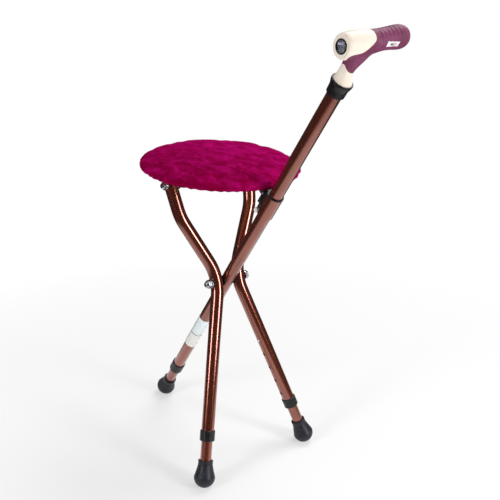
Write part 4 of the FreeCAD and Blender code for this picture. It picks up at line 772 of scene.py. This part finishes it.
@dataclass
class Stick:
    """The shaft with its extension, foot, collars, bands and snap button."""

    def build(self, nodes: dict[str, bpy.types.Object]) -> list[bpy.types.Object]:
        """Dresses the shaft's parts.

        Args:
            nodes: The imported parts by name.

        Returns:
            No new pieces.
        """
        dress(nodes, {
            BRONZE: ["shaft_tube"],
            BRONZE_SLID: ["shaft_extension_tube"],
            NYLON: ["shaft_collar", "handle_collar", "pivot_bushes"],
            RUBBER: ["shaft_foot"],
            TAPE: ["reflective_band_upper"],
            TAPE_LOW: ["reflective_band_lower"],
            SPRING_STEEL: ["shaft_button", "shaft_clip"],
        })
        return []


@dataclass
class Handle:
    """The handle with its ribbed grip, torch and switch."""

    shaft_top: Vector = field(default_factory=lambda: Vector((210.44, 0.0, 681.93)))
    tilt: float = math.radians(34.6)
    axis_height: float = 63.4
    axis_slope: float = 0.13
    skin_radius: float = 13.2
    ribs: int = 8
    first_rib: float = 12.0
    rib_pitch: float = 6.3
    rib_height: float = 0.8
    rib_lift: float = 0.35
    rib_step: float = 0.7
    rib_turn: tuple[float, float] = (math.radians(60), math.radians(76))
    sharp_from: float = math.radians(40)

    def frame(self) -> Matrix:
        """Gives the handle's frame in metres: Y along the handle and Z up the shaft."""
        return Matrix.Translation(self.shaft_top * MM) @ Matrix.Rotation(self.tilt, 4, "Y")

    def ribbed(self, point: Vector) -> Vector:
        """Lifts or sinks a point of the grip's skin into the ribs over its top.

        Args:
            point: The point, in millimetres in the handle's frame.

        Returns:
            The moved point.
        """
        centre = Vector((0.0, point.y, self.axis_height + self.axis_slope * point.y))
        spoke = point - centre
        last_rib = self.first_rib + self.rib_pitch * self.ribs
        if spoke.length < self.skin_radius or not self.first_rib < point.y < last_rib:
            return point
        wave = 0.5 - 0.5 * math.cos(math.tau * (point.y - self.first_rib) / self.rib_pitch)
        over = 1.0 - smooth_step(*self.rib_turn, abs(math.atan2(spoke.x, spoke.z)))
        return point + spoke.normalized() * ((self.rib_lift - wave) * self.rib_height * over)

    def grip(self, source: bpy.types.Object) -> bpy.types.Object:
        """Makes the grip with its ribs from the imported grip's own skin.

        Args:
            source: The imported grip.

        Returns:
            The ribbed grip.
        """
        shape = bmesh.new()
        shape.from_mesh(source.data)
        bmesh.ops.remove_doubles(shape, verts=shape.verts, dist=SAME_POINT * MM)
        bmesh.ops.transform(shape, matrix=self.frame().inverted(), verts=shape.verts)
        bmesh.ops.scale(shape, vec=(1 / MM, 1 / MM, 1 / MM), verts=shape.verts)
        cuts = round(self.rib_pitch * self.ribs / self.rib_step)
        for index in range(cuts + 1):
            bmesh.ops.bisect_plane(shape, geom=shape.verts[:] + shape.edges[:] + shape.faces[:], dist=SAME_POINT,
                                   plane_co=(0, self.first_rib + self.rib_step * index, 0), plane_no=(0, 1, 0))
        for vertex in shape.verts:
            vertex.co = self.ribbed(vertex.co)
        bmesh.ops.scale(shape, vec=(MM, MM, MM), verts=shape.verts)
        bmesh.ops.transform(shape, matrix=self.frame(), verts=shape.verts)
        piece = new_piece("ribbed_grip", shape, PLUM, Body.SHAFT)
        piece.data.set_sharp_from_angle(angle=self.sharp_from)
        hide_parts("handle_grip")
        return piece

    def build(self, nodes: dict[str, bpy.types.Object]) -> list[bpy.types.Object]:
        """Dresses the handle's parts and makes its ribbed grip.

        Args:
            nodes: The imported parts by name.

        Returns:
            The new pieces.
        """
        dress(nodes, {
            IVORY: ["handle_shell_front", "handle_shell_back"],
            FILLED_NYLON: ["handle_stem"],
            ZINC: ["handle_screws", "handle_pin", "battery_spring"],
            GLOSS_BLACK: ["torch_bezel"],
            CLEAR: ["torch_lens"],
            MIRROR: ["torch_reflector"],
            BOARD_GREEN: ["lamp_board"],
            CELL_STEEL: ["battery_cells"],
            SWITCH_PALE: ["switch_plate"],
            SWITCH_GREY: ["torch_switch"],
        })
        nodes["torch_lens"].visible_shadow = False
        return [self.grip(nodes["handle_grip"])]


@dataclass
class Legs:
    """The two bent legs with their extensions, feet, plugs and pivot fasteners."""

    def build(self, nodes: dict[str, bpy.types.Object]) -> list[bpy.types.Object]:
        """Dresses the legs' parts.

        Args:
            nodes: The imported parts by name.

        Returns:
            No new pieces.
        """
        both = ("left", "right")
        dress(nodes, {
            BRONZE: [side + "_leg_tube" for side in both],
            BRONZE_SLID: [side + "_extension_tube" for side in both],
            NYLON: [side + part for side in both for part in ("_leg_collar", "_leg_plug")],
            RUBBER: [side + "_foot" for side in both],
            SPRING_STEEL: [side + part for side in both for part in ("_button", "_clip")],
            ZINC: ["pivot_bolt", "pivot_nut", "pivot_washers", "leg_saddle_washers"],
        })
        return []


@dataclass
class Sleeve:
    """The sleeve that slides on the shaft, with its release lever and brake roller."""

    def build(self, nodes: dict[str, bpy.types.Object]) -> list[bpy.types.Object]:
        """Dresses the sleeve's parts.

        Args:
            nodes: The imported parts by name.

        Returns:
            No new pieces.
        """
        dress(nodes, {
            BRONZE: ["sleeve_tube"],
            NYLON: ["sleeve_liner"],
            BLACK_ENAMEL: ["sleeve_ears", "release_lever"],
            ZINC: ["sleeve_pin", "lever_pin"],
            SPRING_STEEL: ["lever_spring"],
            WHITE_NYLON: ["brake_roller"],
        })
        return []


@dataclass
class Camera:
    """The camera at the photograph's viewing angle."""

    spot: tuple[float, float, float] = (0.917483, -0.713033, 0.802189)
    yaw: float = math.radians(-51.453)
    pitch: float = math.radians(-19.698)
    roll: float = math.radians(0.969)
    lens_mm: float = 53.678
    sensor_mm: float = 36.0
    reach: float = 100.0

    def axes(self) -> tuple[Vector, Vector, Vector]:
        """Gives the camera's directions.

        Returns:
            Right, up and forward.
        """
        forward = Vector((math.sin(self.yaw) * math.cos(self.pitch), math.cos(self.yaw) * math.cos(self.pitch),
                          math.sin(self.pitch)))
        right = Vector((math.cos(self.yaw), -math.sin(self.yaw), 0.0))
        up = right.cross(forward)
        rolled = right * math.cos(self.roll) + up * math.sin(self.roll)
        return rolled, up * math.cos(self.roll) - right * math.sin(self.roll), forward

    def build(self) -> None:
        """Adds the camera and makes it the scene's."""
        data = bpy.data.cameras.new("camera")
        data.sensor_width = self.sensor_mm
        data.lens = self.lens_mm
        data.clip_end = self.reach
        camera = bpy.data.objects.new("camera", data)
        right, up, forward = self.axes()
        camera.matrix_world = Matrix.Translation(self.spot) @ Matrix((right, up, -forward)).transposed().to_4x4()
        bpy.context.scene.collection.objects.link(camera)
        bpy.context.scene.camera = camera


@dataclass(frozen=True)
class Softbox:
    """One square or long studio lamp that faces the middle of the object."""

    name: str
    spot: tuple[float, float, float]
    width: float
    height: float
    watts: float

    def build(self, target: Vector) -> None:
        """Adds the lamp.

        Args:
            target: The point that it faces.
        """
        data = bpy.data.lights.new(self.name, "AREA")
        data.shape = "RECTANGLE"
        data.size = self.width
        data.size_y = self.height
        data.energy = self.watts
        lamp = bpy.data.objects.new(self.name, data)
        spot = Vector(self.spot)
        lamp.matrix_world = Matrix.Translation(spot) @ (target - spot).to_track_quat("-Z", "Y").to_matrix().to_4x4()
        bpy.context.scene.collection.objects.link(lamp)


@dataclass
class Studio:
    """The pale floor, the white surround, the black drape and the soft lamps, in metres."""

    floor_half: float = 40.0
    paper_grain: float = 1 / 400
    paper_lit: float = 0.3
    paper_white: float = 1.0
    paper_glow: float = 0.5
    surround: float = 0.25
    drape_inner: float = 0.42
    drape_fade: float = 0.28
    drape_outer: float = 2.6
    drape_height: float = 3.0
    drape_lift: float = 0.004
    drape_steps: int = 64
    velvet_nap: float = 1 / 60
    target: tuple[float, float, float] = (0.0, 0.0, 0.4)
    lamps: tuple[Softbox, ...] = (
        Softbox("key_right", (1.75, 0.6, 0.85), 0.45, 1.0, 22.0),
        Softbox("fill_left", (0.06, -1.8, 0.95), 0.36, 1.0, 14.0),
        Softbox("overhead_back", (-0.1, 0.95, 2.1), 1.2, 1.2, 25.0),
    )

    def surround_light(self) -> None:
        """Makes the surround white to the eye and in reflections, and softer as a light."""
        world = bpy.data.worlds.new("surround")
        world.use_nodes = True
        tree = world.node_tree
        tree.nodes.clear()
        strength = add(tree, "MapRange", {"Value": seen_ray(tree), "To Min": self.surround, "To Max": 1.0})
        glow = add(tree, "Background", {"Color": WHITE, "Strength": strength.outputs[0]})
        add(tree, "OutputWorld", {"Surface": glow.outputs[0]})
        bpy.context.scene.world = world

    def floor_material(self) -> bpy.types.Material:
        """Makes the floor's paper: lit near the object, plain white further out.

        Returns:
            The material.
        """
        made = empty_material("white_paper_floor")
        tree = made.node_tree
        coords = add(tree, "TexCoord").outputs["Object"]
        grain = add(tree, "TexNoise", {"Vector": coords, "Scale": 1 / self.paper_grain, "Detail": 2.0})
        tone = add(tree, "Mix", {0: grain.outputs[0], 6: linear("#fbfbfb"), 7: linear("#f8f8f8")}, data_type="RGBA")
        paper = add(tree, "BsdfPrincipled", {"Base Color": tone.outputs[2], "Roughness": 0.9,
                                             "Specular IOR Level": 0.0})
        away = add(tree, "VectorMath", {0: coords}, operation="LENGTH")
        far = add(tree, "MapRange", {"Value": away.outputs["Value"], "From Min": self.paper_lit,
                                     "From Max": self.paper_white, "To Min": self.paper_glow})
        share = add(tree, "Math", {0: far.outputs[0], 1: seen_ray(tree)}, operation="MULTIPLY")
        white = add(tree, "Emission", {"Color": WHITE, "Strength": 1.0})
        mixed = add(tree, "MixShader", {0: share.outputs[0], 1: paper.outputs[0], 2: white.outputs[0]})
        add(tree, "OutputMaterial", {"Surface": mixed.outputs[0]})
        return made

    def floor(self) -> None:
        """Adds the floor."""
        shape = bmesh.new()
        bmesh.ops.create_grid(shape, x_segments=2, y_segments=2, size=self.floor_half)
        stage_piece("floor", shape, self.floor_material())

    def drape_material(self) -> bpy.types.Material:
        """Makes the drape's black velvet, which starts softly at its inner edge.

        Returns:
            The material.
        """
        made = empty_material("black_velvet_drape")
        tree = made.node_tree
        coords = add(tree, "TexCoord").outputs["Object"]
        nap = add(tree, "TexNoise", {"Vector": coords, "Scale": 1 / self.velvet_nap, "Detail": 2.0})
        tone = add(tree, "Mix", {0: nap.outputs[0], 6: linear("#453c3e"), 7: linear("#3b3435")}, data_type="RGBA")
        velvet = add(tree, "Emission", {"Color": tone.outputs[2], "Strength": 1.0})
        away = add(tree, "VectorMath", {0: coords}, operation="LENGTH")
        cover = add(tree, "MapRange", {"Value": away.outputs["Value"], "From Min": self.drape_inner,
                                       "From Max": self.drape_inner + self.drape_fade})
        gap = add(tree, "BsdfTransparent")
        mixed = add(tree, "MixShader", {0: cover.outputs[0], 1: gap.outputs[0], 2: velvet.outputs[0]})
        add(tree, "OutputMaterial", {"Surface": mixed.outputs[0]})
        return made

    def drape(self) -> None:
        """Adds the black drape round the set, which only reflections show, so that metal keeps dark edges."""
        shape = bmesh.new()
        section = ((self.drape_inner, self.drape_lift), (self.drape_outer, self.drape_lift),
                   (self.drape_outer, self.drape_height))
        corners = [shape.verts.new((radius, 0, rise)) for radius, rise in section]
        for pair in zip(corners, corners[1:]):
            shape.edges.new(pair)
        full_turn(shape, self.drape_steps)
        piece = stage_piece("drape", shape, self.drape_material())
        piece.visible_camera = piece.visible_diffuse = piece.visible_shadow = False

    def build(self) -> None:
        """Adds the floor, the surround, the drape and the lamps."""
        self.surround_light()
        self.floor()
        self.drape()
        for lamp in self.lamps:
            lamp.build(Vector(self.target))
        bpy.context.scene.view_settings.view_transform = "Standard"


def main() -> None:
    """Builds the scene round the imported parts."""
    logging.basicConfig(level=logging.INFO)
    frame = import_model()
    Camera().build()
    Studio().build()
    for assembly in (Stick(), Handle(), Legs(), Sleeve(), Seat()):
        pieces = assembly.build(frame["nodes"])
        LOG.info("%s: %s", type(assembly).__name__, [piece.name for piece in pieces])


if __name__ == "__main__":
    main()
